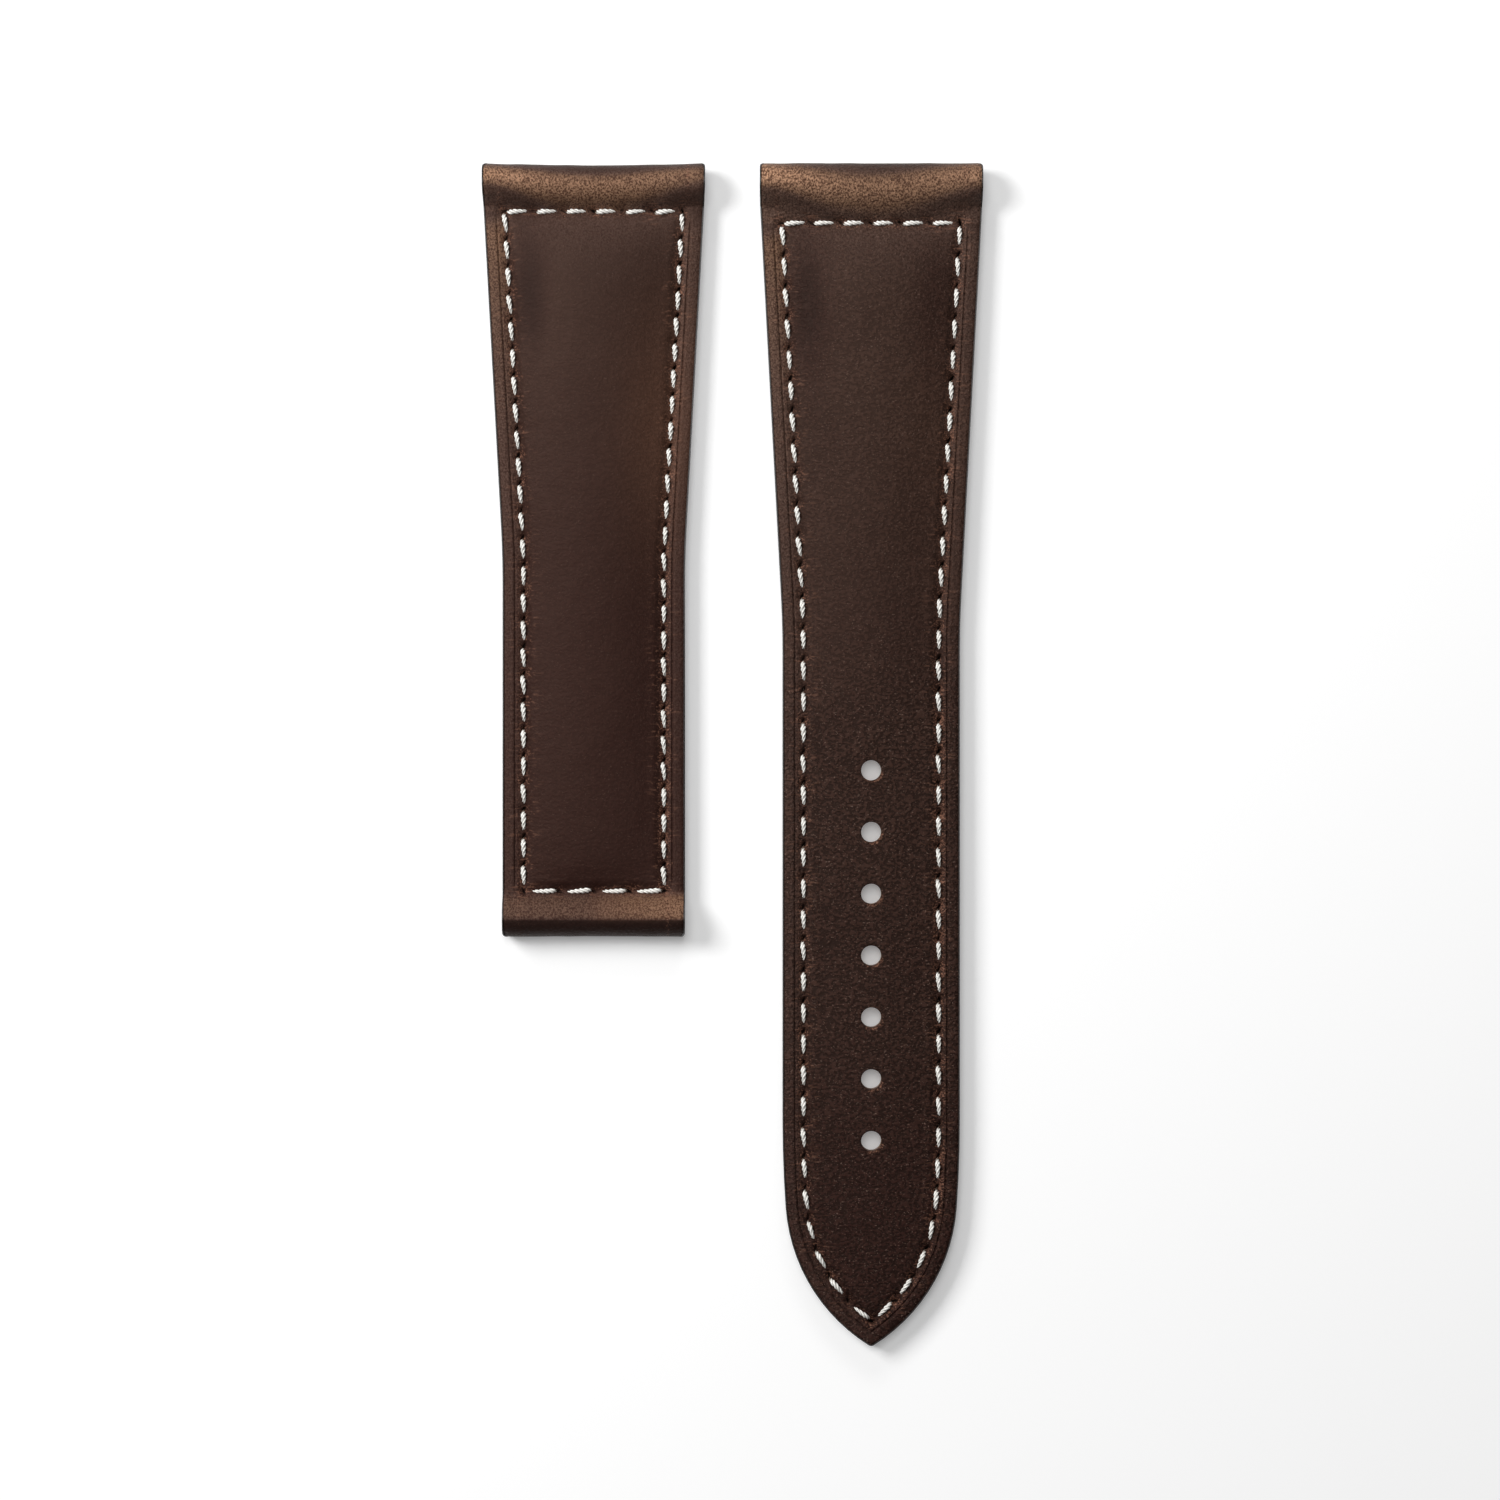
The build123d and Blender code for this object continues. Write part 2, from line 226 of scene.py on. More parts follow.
# %% Describe the halves
LOOP_RADIUS = mounts["long_lug_bore"]["pos_m"][2] / MM
BORE_RADIUS = mounts["long_lug_bore"]["dims"]["r_mm"]
HOLE_RADIUS = mounts["strap_hole_1"]["dims"]["r_mm"]
CLASP_WIDTH = mounts["short_clasp_bore"]["dims"]["length_mm"]
CLASP_ROW = 4.5


@dataclass
class Half:
    """One half of the strap. Distances run from the watch end to the free end, in millimetres."""

    name: str
    pointed: bool
    end_width: float
    taper_start: float
    taper_end: float
    lug_row: float
    left_stitches: int
    right_stitches: int
    end_rise: float
    level: float

    def __post_init__(self):
        low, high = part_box(f"{self.name}_edge_paint")
        self.body = f"{self.name}_half"
        self.centre_x = (low.x + high.x) / 2 / MM
        self.watch_y = high.y / MM
        self.length = (high.y - low.y) / MM
        self.lug_width = (high.x - low.x) / MM
        self.end_row = self.length if self.pointed else self.length - CLASP_ROW
        self.rise_end = self.end_row - self.level
        names = sorted(name for name in mounts if name.startswith("strap_hole") and self.pointed)
        self.holes = [self.watch_y - mounts[name]["pos_m"][1] / MM for name in names]

    def place(self, distance, across, height):
        """Points in the frame, in metres, of arrays of distances, places across and heights."""
        parts = np.broadcast_arrays(self.centre_x + across, self.watch_y - distance, height)
        return np.stack(parts, axis=-1).astype(float) * MM


short_half = Half("short", pointed=False, end_width=CLASP_WIDTH, taper_start=2.2, taper_end=38.7, lug_row=4.75,
                  left_stitches=25, right_stitches=26, end_rise=0.9, level=4.0)
long_half = Half("long", pointed=True, end_width=17.5, taper_start=3.5, taper_end=45.6, lug_row=5.9,
                 left_stitches=36, right_stitches=36, end_rise=0.45, level=54.8)
halves = (short_half, long_half)
for half in halves:
    print(half.name, "half:", round(half.length, 2), "mm long,", round(half.lug_width, 2), "mm wide,",
          len(half.holes), "punched holes")

# %% [markdown]
# ## Outline
# Each side runs straight, tapers, runs straight again and, on the long half, closes in two arcs and a small
# round nose. The function below gives the half's width at any distance, less an inset from the cut edge. An
# inset line is what a divider scribes along a real edge: the seam and the pressed crease both follow one.

# %% Define the outline
TAPER_START_RADIUS = 50.0
TAPER_END_RADIUS = 100.0
TAIL_BLEND_LENGTH = 8.6
TAIL_BLEND_RADIUS = 122.0
TIP_SHOULDER_RADIUS = 17.5
TIP_ROUND_RADIUS = 0.5
LOOP_CORNER_RADIUS = 0.4

blend_drop = TAIL_BLEND_RADIUS - math.sqrt(TAIL_BLEND_RADIUS**2 - TAIL_BLEND_LENGTH**2)
shoulder_sine = TAIL_BLEND_LENGTH / TAIL_BLEND_RADIUS
shoulder_x = long_half.end_width / 2 - blend_drop - TIP_SHOULDER_RADIUS * math.sqrt(1 - shoulder_sine**2)
nose_reach = math.sqrt((TIP_SHOULDER_RADIUS - TIP_ROUND_RADIUS) ** 2 - shoulder_x**2)
nose_y = long_half.length - TIP_ROUND_RADIUS
shoulder_y = nose_y - nose_reach
shoulder_start = shoulder_y + TIP_SHOULDER_RADIUS * shoulder_sine
blend_start = shoulder_start - TAIL_BLEND_LENGTH
nose_start = shoulder_y + nose_reach * TIP_SHOULDER_RADIUS / (TIP_SHOULDER_RADIUS - TIP_ROUND_RADIUS)


def root(value):
    """Square root, taken as zero below zero."""
    return np.sqrt(np.clip(value, 0, None))


def end_distance(half, distance):
    """Distance from the nearest folded end."""
    return distance if half.pointed else np.minimum(distance, half.length - distance)


def corner_cut(half, distance):
    """How far the loop's corners are rounded off in plan."""
    into = np.clip(LOOP_CORNER_RADIUS - end_distance(half, distance), 0, LOOP_CORNER_RADIUS)
    return LOOP_CORNER_RADIUS - np.sqrt(LOOP_CORNER_RADIUS**2 - into**2)


def rounded_taper(half, distance):
    """Half the width along the straight and tapered stretches, with both corners rounded by arcs."""
    wide, narrow = half.lug_width / 2, half.end_width / 2
    slope = math.atan((wide - narrow) / (half.taper_end - half.taper_start))
    share = np.clip((distance - half.taper_start) / (half.taper_end - half.taper_start), 0, 1)
    width = wide + share * (narrow - wide)
    first_reach = TAPER_START_RADIUS * math.tan(slope / 2)
    into = np.clip(distance - half.taper_start + first_reach, 0, None)
    arc = wide - TAPER_START_RADIUS + root(TAPER_START_RADIUS**2 - into**2)
    width = np.where(into < first_reach * (1 + math.cos(slope)), arc, width)
    last_reach = TAPER_END_RADIUS * math.tan(slope / 2)
    back = np.clip(half.taper_end + last_reach - distance, 0, None)
    arc = narrow + TAPER_END_RADIUS - root(TAPER_END_RADIUS**2 - back**2)
    width = np.where((back > 0) & (back < last_reach * (1 + math.cos(slope))), arc, width)
    return width - corner_cut(half, distance)


def half_width(half, distance, inset):
    """Half the width at each distance, less an inset measured square to the side. It is never below zero."""
    distance, inset = np.broadcast_arrays(np.asarray(distance, float), np.asarray(inset, float))
    width = rounded_taper(half, distance) - inset
    if half.pointed:
        blend = distance - blend_start
        arc = half.end_width / 2 - TAIL_BLEND_RADIUS + np.sqrt((TAIL_BLEND_RADIUS - inset) ** 2 - blend**2)
        width = np.where(blend > 0, arc, width)
        shoulder = shoulder_x + root((TIP_SHOULDER_RADIUS - inset) ** 2 - (distance - shoulder_y) ** 2)
        width = np.where(distance > shoulder_start, shoulder, width)
        nose = root(np.clip(TIP_ROUND_RADIUS - inset, 0, None) ** 2 - (distance - nose_y) ** 2)
        width = np.where((distance > nose_start) & (inset < TIP_ROUND_RADIUS), nose, width)
    return np.clip(width, 0, None)


def tip_end(inset):
    """Distance at which a line inset from the edge meets itself at the tip."""
    return shoulder_y + math.sqrt((TIP_SHOULDER_RADIUS - inset) ** 2 - shoulder_x**2)


print("tip: arcs start", round(blend_start, 2), "and", round(shoulder_start, 2), "mm from the watch end")

# %% [markdown]
# ## Where things are on the leather
# Most details of a strap are placed from its edge or from its seam, so two more measures are handy. One is
# how far a point lies from the nearest cut edge. The other finds the needle holes, which are spaced evenly
# along a line scribed inside the edge, and turns the corner at the folds.

# %% Measure from the edge and space the needle holes
STITCH_INSET = 2.07
LUG_ROW_STITCHES = 6
CLASP_ROW_STITCHES = 4
SEAM_SAMPLES = 4000


def edge_distance(half, distance, across):
    """How far points lie from the nearest side or tip."""
    across = np.abs(across)
    inset = rounded_taper(half, distance) - across
    if half.pointed:
        centre = half.end_width / 2 - TAIL_BLEND_RADIUS
        blend = TAIL_BLEND_RADIUS - np.hypot(across - centre, distance - blend_start)
        inset = np.where(distance > blend_start, blend, inset)
        shoulder = TIP_SHOULDER_RADIUS - np.hypot(across - shoulder_x, distance - shoulder_y)
        inset = np.where(distance > shoulder_start, shoulder, inset)
    return inset


def evenly(start, end, count):
    """The points that divide a line in the plan into equal parts, with both ends."""
    return [tuple(np.add(start, np.subtract(end, start) * index / count)) for index in range(count + 1)]


def side_holes(half, count):
    """Needle holes down the right side, as pairs of distance and place across."""
    last = tip_end(STITCH_INSET) if half.pointed else half.end_row
    distances = np.linspace(half.lug_row, last, SEAM_SAMPLES)
    line = np.stack([distances, half_width(half, distances, STITCH_INSET)], axis=1)
    if half.pointed:
        line[-1, 1] = 0
    reach = np.concatenate([[0], np.cumsum(np.linalg.norm(np.diff(line, axis=0), axis=1))])
    places = np.linspace(0, reach[-1], count + 1)
    return [tuple(np.interp(place, reach, line[:, axis]) for axis in (0, 1)) for place in places]


def needle_holes(half):
    """Needle holes in order round the closed seam, starting after the top left corner."""
    right = side_holes(half, half.right_stitches)
    left = [(distance, -across) for distance, across in side_holes(half, half.left_stitches)]
    holes = evenly(left[0], right[0], LUG_ROW_STITCHES)[1:-1] + right
    if half.pointed:
        left.pop()
    else:
        holes += evenly(right[-1], left[-1], CLASP_ROW_STITCHES)[1:-1]
    return np.array(holes + left[::-1])


for half in halves:
    half.needle_holes = needle_holes(half)
    following = np.roll(half.needle_holes, -1, axis=0)
    pitch = np.linalg.norm(following - half.needle_holes, axis=1)
    shortest, longest = round(pitch.min(), 2), round(pitch.max(), 2)
    print(half.name, "half:", len(pitch), "stitches of", shortest, "to", longest, "mm")

# %% [markdown]
# ## How the hand of the maker shows
# No leather lies quite flat and no stitch repeats exactly. A smooth random field, made once from a fixed
# seed, gives slow swells in the surface. The same generator gives each needle hole its own size and each stitch
# its own small tilt.

# %% Define smooth random fields
FIELD_CELLS = 160
FIELD_START = 20
rng = np.random.default_rng(7)


def random_field(cell):
    """A smooth random surface from -1 to 1, with bumps about a cell apart, in millimetres."""
    grid = rng.uniform(-1, 1, (FIELD_CELLS, FIELD_CELLS))

    def field(distance, across):
        row, column = (np.asarray(distance) + FIELD_START) / cell, (np.asarray(across) + FIELD_START) / cell
        row0, column0 = np.floor(row).astype(int), np.floor(column).astype(int)
        u, v = smooth_step(row - row0, 0, 1), smooth_step(column - column0, 0, 1)
        corner = [[grid[(row0 + i) % FIELD_CELLS, (column0 + j) % FIELD_CELLS] for j in (0, 1)] for i in (0, 1)]
        low = corner[0][0] * (1 - v) + corner[0][1] * v
        high = corner[1][0] * (1 - v) + corner[1][1] * v
        return low * (1 - u) + high * u

    return field


def smooth_step(value, low, high):
    """0 below low and 1 above high, with a smooth rise between."""
    share = np.clip((value - low) / (high - low), 0, 1)
    return share * share * (3 - 2 * share)


def bump(value, middle, spread):
    """A bell curve that is 1 in its middle."""
    return np.exp(-(((value - middle) / spread) ** 2))


slow_swell = random_field(6.0)
ripple = random_field(1.6)
wrinkle = random_field(0.55)
print("random fields with cells of 6, 1.6 and 0.55 mm")

# %% [markdown]
# ## Height of the leather
# The top leather is one skin, so its shape is written as one height over the plan. It folds round the spring
# bars, falls to the margin, swells over the padding, is pulled down along the seam and is pinched at each
# needle hole. A height written this way keeps every fold smooth and leaves the seam where the thread runs.

# %% Define the heights of the loops and the crown
LINING = 0.7
TAPE = 0.2
LEATHER = 1.1
TAPE_TOP = LINING + TAPE
MARGIN_TOP = TAPE_TOP + LEATHER
SLOPE_ANGLE = math.radians(50.0)
FOOT_SWELL, FOOT_SPREAD = 0.06, 0.45
PADDING_INSET = 2.5
PADDING_GROWTH = 3.4
PADDING_RISE = 1.9

shoulder = (LOOP_RADIUS * (1 + math.sin(SLOPE_ANGLE)), LOOP_RADIUS * (1 + math.cos(SLOPE_ANGLE)))
foot = shoulder[0] + (shoulder[1] - MARGIN_TOP) / math.tan(SLOPE_ANGLE)
for half in halves:
    half.padding_start = half.lug_row + PADDING_INSET - STITCH_INSET
    half.padding_end = tip_end(PADDING_INSET) if half.pointed else half.end_row - PADDING_INSET + STITCH_INSET


def fold_profile(distance):
    """Height of a folded loop above the margin, seen from the side, from its crest to its foot."""
    arc = LOOP_RADIUS + root(LOOP_RADIUS**2 - np.clip(distance - LOOP_RADIUS, 0, None) ** 2)
    line = shoulder[1] - (distance - shoulder[0]) * math.tan(SLOPE_ANGLE)
    height = np.where(distance < shoulder[0], arc, line) - MARGIN_TOP
    return np.clip(height, 0, None) + FOOT_SWELL * bump(distance, foot, FOOT_SPREAD) * (height < 0.3)


def loop_height(half, distance, across, row):
    """Height of a loop above the margin. Its crest is broader in mid-width, where the padding backs it."""
    share = np.clip(np.abs(across) / (half_width(half, distance, 0) + 0.01), 0, 1)
    reach = foot + (row - 0.15 - foot) * (1 - share**2.2)
    return fold_profile(LOOP_RADIUS + (distance - LOOP_RADIUS) * (foot - LOOP_RADIUS) / (reach - LOOP_RADIUS))


def crown_height(half, distance, across):
    """Swell of the leather over its padding."""
    inside = np.clip(distance - half.padding_start, 0, None)
    fall = np.clip((distance - half.padding_start) / (half.rise_end - half.padding_start), 0, 1)
    rise = PADDING_RISE + fall * (half.end_rise - PADDING_RISE)
    rise = rise * (1 - np.exp(-inside / PADDING_GROWTH))
    rise = rise * (1 - np.exp(-np.clip(half.padding_end - distance, 0, None) / (PADDING_GROWTH / 2)))
    edge = np.clip(half_width(half, distance, PADDING_INSET), 0.01, None)
    return rise * np.clip(1 - (across / edge) ** 2, 0, None)


loop_top = round(2 * LOOP_RADIUS, 2)
print("loops fall from", loop_top, "to", MARGIN_TOP, "mm at", round(foot, 2), "mm from the fold")

# %% [markdown]
# ## Seam channel, pinches and slits
# Each needle hole is a small slanted slit cut by an awl, and every stitch leans the same way. The thread pulls
# the leather down along the whole seam, most of all at the slits. Outside the seam, a hot creasing iron has
# pressed a fine line. The cut edges are rounded down a little, as the painter's slicker leaves them.

# %% Press the seam and the crease
SLIT_ANGLE = math.radians(31.0)
SLIT_LENGTH = 0.42
SLIT_WIDTH = 0.13
SLIT_DEPTH = 0.34
PINCH_LENGTH, PINCH_WIDTH, PINCH_DEPTH = 0.6, 0.5, 0.16
CHANNEL_DEPTH, CHANNEL_SPREAD = 0.2, 0.5
LIP_HEIGHT, LIP_PLACE, LIP_SPREAD = 0.05, 1.0, 0.4
CREASE_INSET = 1.24
CREASE_WIDTH = 0.1
CREASE_DEPTH = 0.16
CREASE_RUN_OUT = 1.5
EDGE_DROP, EDGE_REACH = 0.22, 0.55
CALM_START, CALM_REACH = 0.3, 2.5
SWELL_HEIGHT, RIPPLE_HEIGHT, WRINKLE_HEIGHT = 0.05, 0.02, 0.006

for half in halves:
    half.hole_sizes = rng.uniform(0.75, 1.15, len(half.needle_holes))


def near_holes(half, distance, across, reach, shape):
    """Largest value of a shape over the needle holes, each in its own frame: along and square to its slit."""
    distance, across = np.broadcast_arrays(distance, across)
    total = np.zeros(distance.shape)
    holes = half.needle_holes
    along = np.roll(holes, -1, axis=0) - np.roll(holes, 1, axis=0)
    for (hole_y, hole_x), (step_y, step_x), size in zip(holes, along, half.hole_sizes):
        turn = math.atan2(step_x, -step_y) + SLIT_ANGLE
        near = (np.abs(distance - hole_y) < reach) & (np.abs(across - hole_x) < reach)
        dy, dx = hole_y - distance[near], across[near] - hole_x
        run, off = dy * math.cos(turn) + dx * math.sin(turn), dx * math.cos(turn) - dy * math.sin(turn)
        total[near] = np.maximum(total[near], size * shape(run, off))
    return total


def near_rounds(half, distance, across, reach, spread):
    """Round spots of a spread about the needle holes."""
    return near_holes(half, distance, across, reach, lambda run, off: bump(np.hypot(run, off), 0, spread))


def pinch(half, distance, across):
    """Dimples where the thread is pulled tight."""
    return near_holes(half, distance, across, 1.6,
                      lambda run, off: bump(run, 0, PINCH_LENGTH) * bump(off, 0, PINCH_WIDTH))


def slit(half, distance, across):
    """The awl's slanted slits, 1 inside a slit."""
    return near_holes(half, distance, across, 1.2,
                      lambda run, off: bump(run, 0, SLIT_LENGTH) * bump(off, 0, SLIT_WIDTH))


def seam_distance(half, distance, across):
    """Distance to the seam line: the line inside the edge, or a cross row where that is nearer."""
    beyond = np.clip(half.lug_row - distance, 0, None)
    rows = np.abs(distance - half.lug_row)
    if not half.pointed:
        beyond = beyond + np.clip(distance - half.end_row, 0, None)
        rows = np.minimum(rows, np.abs(distance - half.end_row))
    side = np.hypot(np.abs(edge_distance(half, distance, across) - STITCH_INSET), beyond)
    outside = np.clip(np.abs(across) - half_width(half, distance, STITCH_INSET), 0, None)
    return np.minimum(side, np.hypot(rows, outside))


def crease(half, distance, across):
    """The pressed line between the seam and the edge, 1 in its bottom."""
    line = bump(edge_distance(half, distance, across), CREASE_INSET, CREASE_WIDTH)
    line = line * np.clip((distance - half.lug_row) / CREASE_RUN_OUT, 0, 1)
    return line if half.pointed else line * np.clip((half.end_row - distance) / CREASE_RUN_OUT, 0, 1)


def top_height(half, distance, across):
    """Height of the top leather over the table, in millimetres, from the crest of a loop onwards."""
    seam, inset = seam_distance(half, distance, across), edge_distance(half, distance, across)
    height = MARGIN_TOP + loop_height(half, distance, across, half.lug_row)
    height = height + crown_height(half, distance, across)
    if not half.pointed:
        height = height + loop_height(half, half.length - distance, across, half.length - half.end_row)
    height = height - CHANNEL_DEPTH * bump(seam, 0, CHANNEL_SPREAD)
    height = height + LIP_HEIGHT * bump(seam, LIP_PLACE, LIP_SPREAD)
    height = height - PINCH_DEPTH * pinch(half, distance, across) - SLIT_DEPTH * slit(half, distance, across)
    height = height - CREASE_DEPTH * crease(half, distance, across)
    height = height - EDGE_DROP * np.clip(1 - inset / EDGE_REACH, 0, 1) ** 2
    swell = SWELL_HEIGHT * slow_swell(distance, across) + RIPPLE_HEIGHT * ripple(distance, across)
    height = height + np.clip((inset - CALM_START) / CALM_REACH, 0, 1) * swell
    return height + WRINKLE_HEIGHT * wrinkle(distance, across)


probe = np.array([[30.0, 0.0], [30.0, short_half.lug_width / 2 - 3]])
print("crown and margin heights:", np.round(top_height(short_half, probe[:, 0], probe[:, 1]), 2), "mm")

# %% [markdown]
# ## Turning a profile into a skin
# A strap is a profile swept across its width, so the skin is a grid. Each row is a place along the profile,
# from the flap underneath, round the fold, over the top and to the other end. Each column keeps its distance
# from the cut edge, so the seam and crease stay sharp. Columns and rows are close together where detail is.

# %% Lay out the rows and columns
EDGE_COLUMNS = [0.12, 0.19, 0.27, 0.36, 0.46, 0.58, 0.72, 0.88, 1.0, 1.08, 1.14, 1.19, 1.24, 1.3, 1.38, 1.48]
EDGE_COLUMNS += [1.6, 1.7, 1.8, 1.88, 1.96, 2.04, 2.12, 2.2, 2.28, 2.36, 2.46, 2.58, 2.72, 2.86, 3.0]
HOLE_PATCH = 1.5
PATCH_CELLS = 12
OUTER_CELLS = 16
ROW_STEP = 0.15
PATCH_SHARE = HOLE_PATCH / float(half_width(long_half, 80.0, EDGE_COLUMNS[-1]))


def column_places(half, distance, edges):
    """Places across at each distance, from the left edge to the right."""
    shares = np.concatenate([
        np.linspace(-1, -PATCH_SHARE, OUTER_CELLS + 1)[1:],
        np.linspace(-PATCH_SHARE, PATCH_SHARE, PATCH_CELLS + 1)[1:],
        np.linspace(PATCH_SHARE, 1, OUTER_CELLS + 1)[1:-1],
    ])
    distance = np.asarray(distance, float)[:, None]
    inner = half_width(half, distance, edges[-1]) * shares[None, :]
    sides = half_width(half, distance, np.array(edges)[None, :])
    return np.concatenate([-sides, inner, sides[:, ::-1]], axis=1)


def steps(start, end, step):
    """Evenly spaced values from start to end, no further apart than step."""
    return np.linspace(start, end, max(int(math.ceil(abs(end - start) / step)), 1) + 1)


def rows_between(half, start, end, step):
    """Distances of the rows from start to end, with rows on both borders of each punched hole's patch."""
    borders = sorted(hole + side for hole in half.holes for side in (-HOLE_PATCH, HOLE_PATCH))
    stops = [start] + borders + [end]
    return np.concatenate([steps(low, high, step)[:-1] for low, high in zip(stops, stops[1:])] + [[end]])


def nearest(rows, place):
    """Number of the row that lies nearest to a place."""
    return int(np.argmin(np.abs(rows - place)))


COLUMN_COUNT = 2 * len(EDGE_COLUMNS) + 2 * OUTER_CELLS + PATCH_CELLS - 1
print("rows on top at most", ROW_STEP, "mm apart, in", COLUMN_COUNT, "columns")

# %% [markdown]
# ## Closing a skin into a solid piece
# Every layer is closed: an upper and a lower grid, walls down the sides, a face across each end, and a wall in
# every punched hole. A punch leaves a true circle, so the grid round a hole is opened to a square and filled
# with rings that turn the square into the circle. Each point also carries the measures of wear and painted light
# named here.

# %% Define the layer builder
WEAR_AND_LIGHT_NAMES = ("worn_and_rim_highlight", "slit", "grain", "painted_shade", "pulled", "warm_and_lit", "creased")
MERGE_REACH = 0.0005 * MM
SHARP_ANGLE = math.radians(40)
# How round each ring at a hole is, its reach in hole radii, and how far it is rounded down in millimetres
HOLE_RINGS = ((0.5, 1.3, 0), (1, 1.3, 0), (1, 1.16, 0.005), (1, 1.07, 0.025), (1, 1, 0.08))


def grid_quads(index, gaps=()):
    """Quads of a grid of point numbers, without the cells in the gaps."""
    keep = np.ones((index.shape[0] - 1, index.shape[1] - 1), bool)
    for row0, row1, column0, column1 in gaps:
        keep[row0:row1, column0:column1] = False
    quads = np.stack([index[:-1, :-1], index[1:, :-1], index[1:, 1:], index[:-1, 1:]], axis=-1)
    return quads[keep].tolist()


def border(index, gap):
    """Point numbers round a gap, in order."""
    row0, row1, column0, column1 = gap
    first, last = index[row0, column0:column1], index[row0:row1, column1]
    back, home = index[row1, column1:column0:-1], index[row1:row0:-1, column0]
    return np.concatenate([first, last, back, home])


def band(first, second):
    """Quads between two closed loops of point numbers."""
    return np.stack([first, second, np.roll(second, -1), np.roll(first, -1)], axis=-1).tolist()


def add_object(name, mesh):
    """A finished piece of a mesh, at the origin. It prints its size."""
    piece = bpy.data.objects.new(name, mesh)
    scene.collection.objects.link(piece)
    print(name, sum(len(face.vertices) - 2 for face in mesh.polygons), "triangles")
    return piece


class Layer:
    """Collects the points, faces and point values of one piece. Points are distance, place across, height."""

    def __init__(self, half):
        self.half = half
        self.points, self.faces, self.cut_faces, self.values = [], [], [], []

    def add_points(self, grid, values=None):
        """Adds an array of points and gives their numbers in the same arrangement."""
        start = sum(len(block) for block in self.points)
        self.points.append(grid.reshape(-1, 3))
        count = grid.shape[0] * grid.shape[1]
        self.values.append(np.zeros((count, len(WEAR_AND_LIGHT_NAMES))) if values is None else values.reshape(count, -1))
        return start + np.arange(count).reshape(grid.shape[:2])

    def add_skins(self, upper, lower, values, picks, holes, wear=None):
        """Joins an upper and a lower grid into a closed sheet and punches the holes.

        Picks are the upper columns that the lower columns lie under. Each hole has its place, its gaps in both
        grids and both heights round it.
        """
        upper, lower = self.add_points(upper, values), self.add_points(lower)
        self.faces += grid_quads(upper, [hole[1] for hole in holes])
        self.faces += [face[::-1] for face in grid_quads(lower, [hole[2] for hole in holes])]
        for side, pick in ((0, picks[0]), (-1, picks[-1])):
            top, bottom = upper[:, pick], lower[:, side]
            quads = np.stack([top[:-1], bottom[:-1], bottom[1:], top[1:]], axis=-1)
            self.faces += (quads if side == 0 else quads[:, ::-1]).tolist()
        for row in (0, -1):
            for cell, (left, right) in enumerate(zip(picks, picks[1:])):
                face = list(upper[row, left : right + 1]) + [lower[row, cell + 1], lower[row, cell]]
                self.faces.append(face if row == 0 else face[::-1])
        for place, upper_gap, lower_gap, upper_height, lower_height in holes:
            top = self.add_rings(border(upper, upper_gap), place, upper_height, 1, wear)
            bottom = self.add_rings(border(lower, lower_gap), place, lower_height, -1)
            self.cut_faces += band(top, bottom)

    def add_rings(self, loop, hole, height, up, wear=None):
        """Fills an opened square with rings down to a round hole, and gives the last ring's point numbers."""
        corner = np.concatenate(self.points)[loop]
        turn = np.arctan2(corner[:, 1], corner[:, 0] - hole)
        circle = np.stack([np.cos(turn), np.sin(turn)], axis=1) * HOLE_RADIUS
        for share, reach, drop in HOLE_RINGS:
            ring = corner[:, :2] * (1 - share) + (circle * reach + [hole, 0]) * share
            level = height(ring[:, 0], ring[:, 1]) - drop * up
            values = wear(ring[:, 0], ring[:, 1])[None] if wear else None
            following = self.add_points(np.column_stack([ring, level])[None], values)[0]
            self.faces += band(loop, following) if up > 0 else band(following, loop)
            loop = following
        return loop

    def finish(self, name, material, cut_material=None):
        """Makes the object, with doubled points merged and normals outwards."""
        points = np.concatenate(self.points)
        mesh = bpy.data.meshes.new(name)
        places = self.half.place(points[:, 0], points[:, 1], points[:, 2])
        mesh.from_pydata(places.tolist(), [], self.faces + self.cut_faces)
        mesh.materials.append(material)
        mesh.materials.append(cut_material or material)
        kinds = np.zeros(len(mesh.polygons), int)
        kinds[len(self.faces) :] = 1
        mesh.polygons.foreach_set("material_index", kinds)
        columns = np.ascontiguousarray(np.concatenate(self.values).T, dtype=np.float32)
        for key, column in zip(WEAR_AND_LIGHT_NAMES, columns):
            mesh.attributes.new(key, "FLOAT", "POINT").data.foreach_set("value", column)
        work = bmesh.new()
        work.from_mesh(mesh)
        bmesh.ops.remove_doubles(work, verts=work.verts, dist=MERGE_REACH)
        bmesh.ops.dissolve_degenerate(work, dist=MERGE_REACH, edges=work.edges)
        bmesh.ops.recalc_face_normals(work, faces=work.faces)
        print("open edges:", sum(len(edge.link_faces) != 2 for edge in work.edges), end=", ")
        work.to_mesh(mesh)
        work.free()
        mesh.shade_smooth()
        mesh.set_sharp_from_angle(angle=SHARP_ANGLE)
        return add_object(name, mesh)


print("each layer carries", len(WEAR_AND_LIGHT_NAMES), "measures of wear")
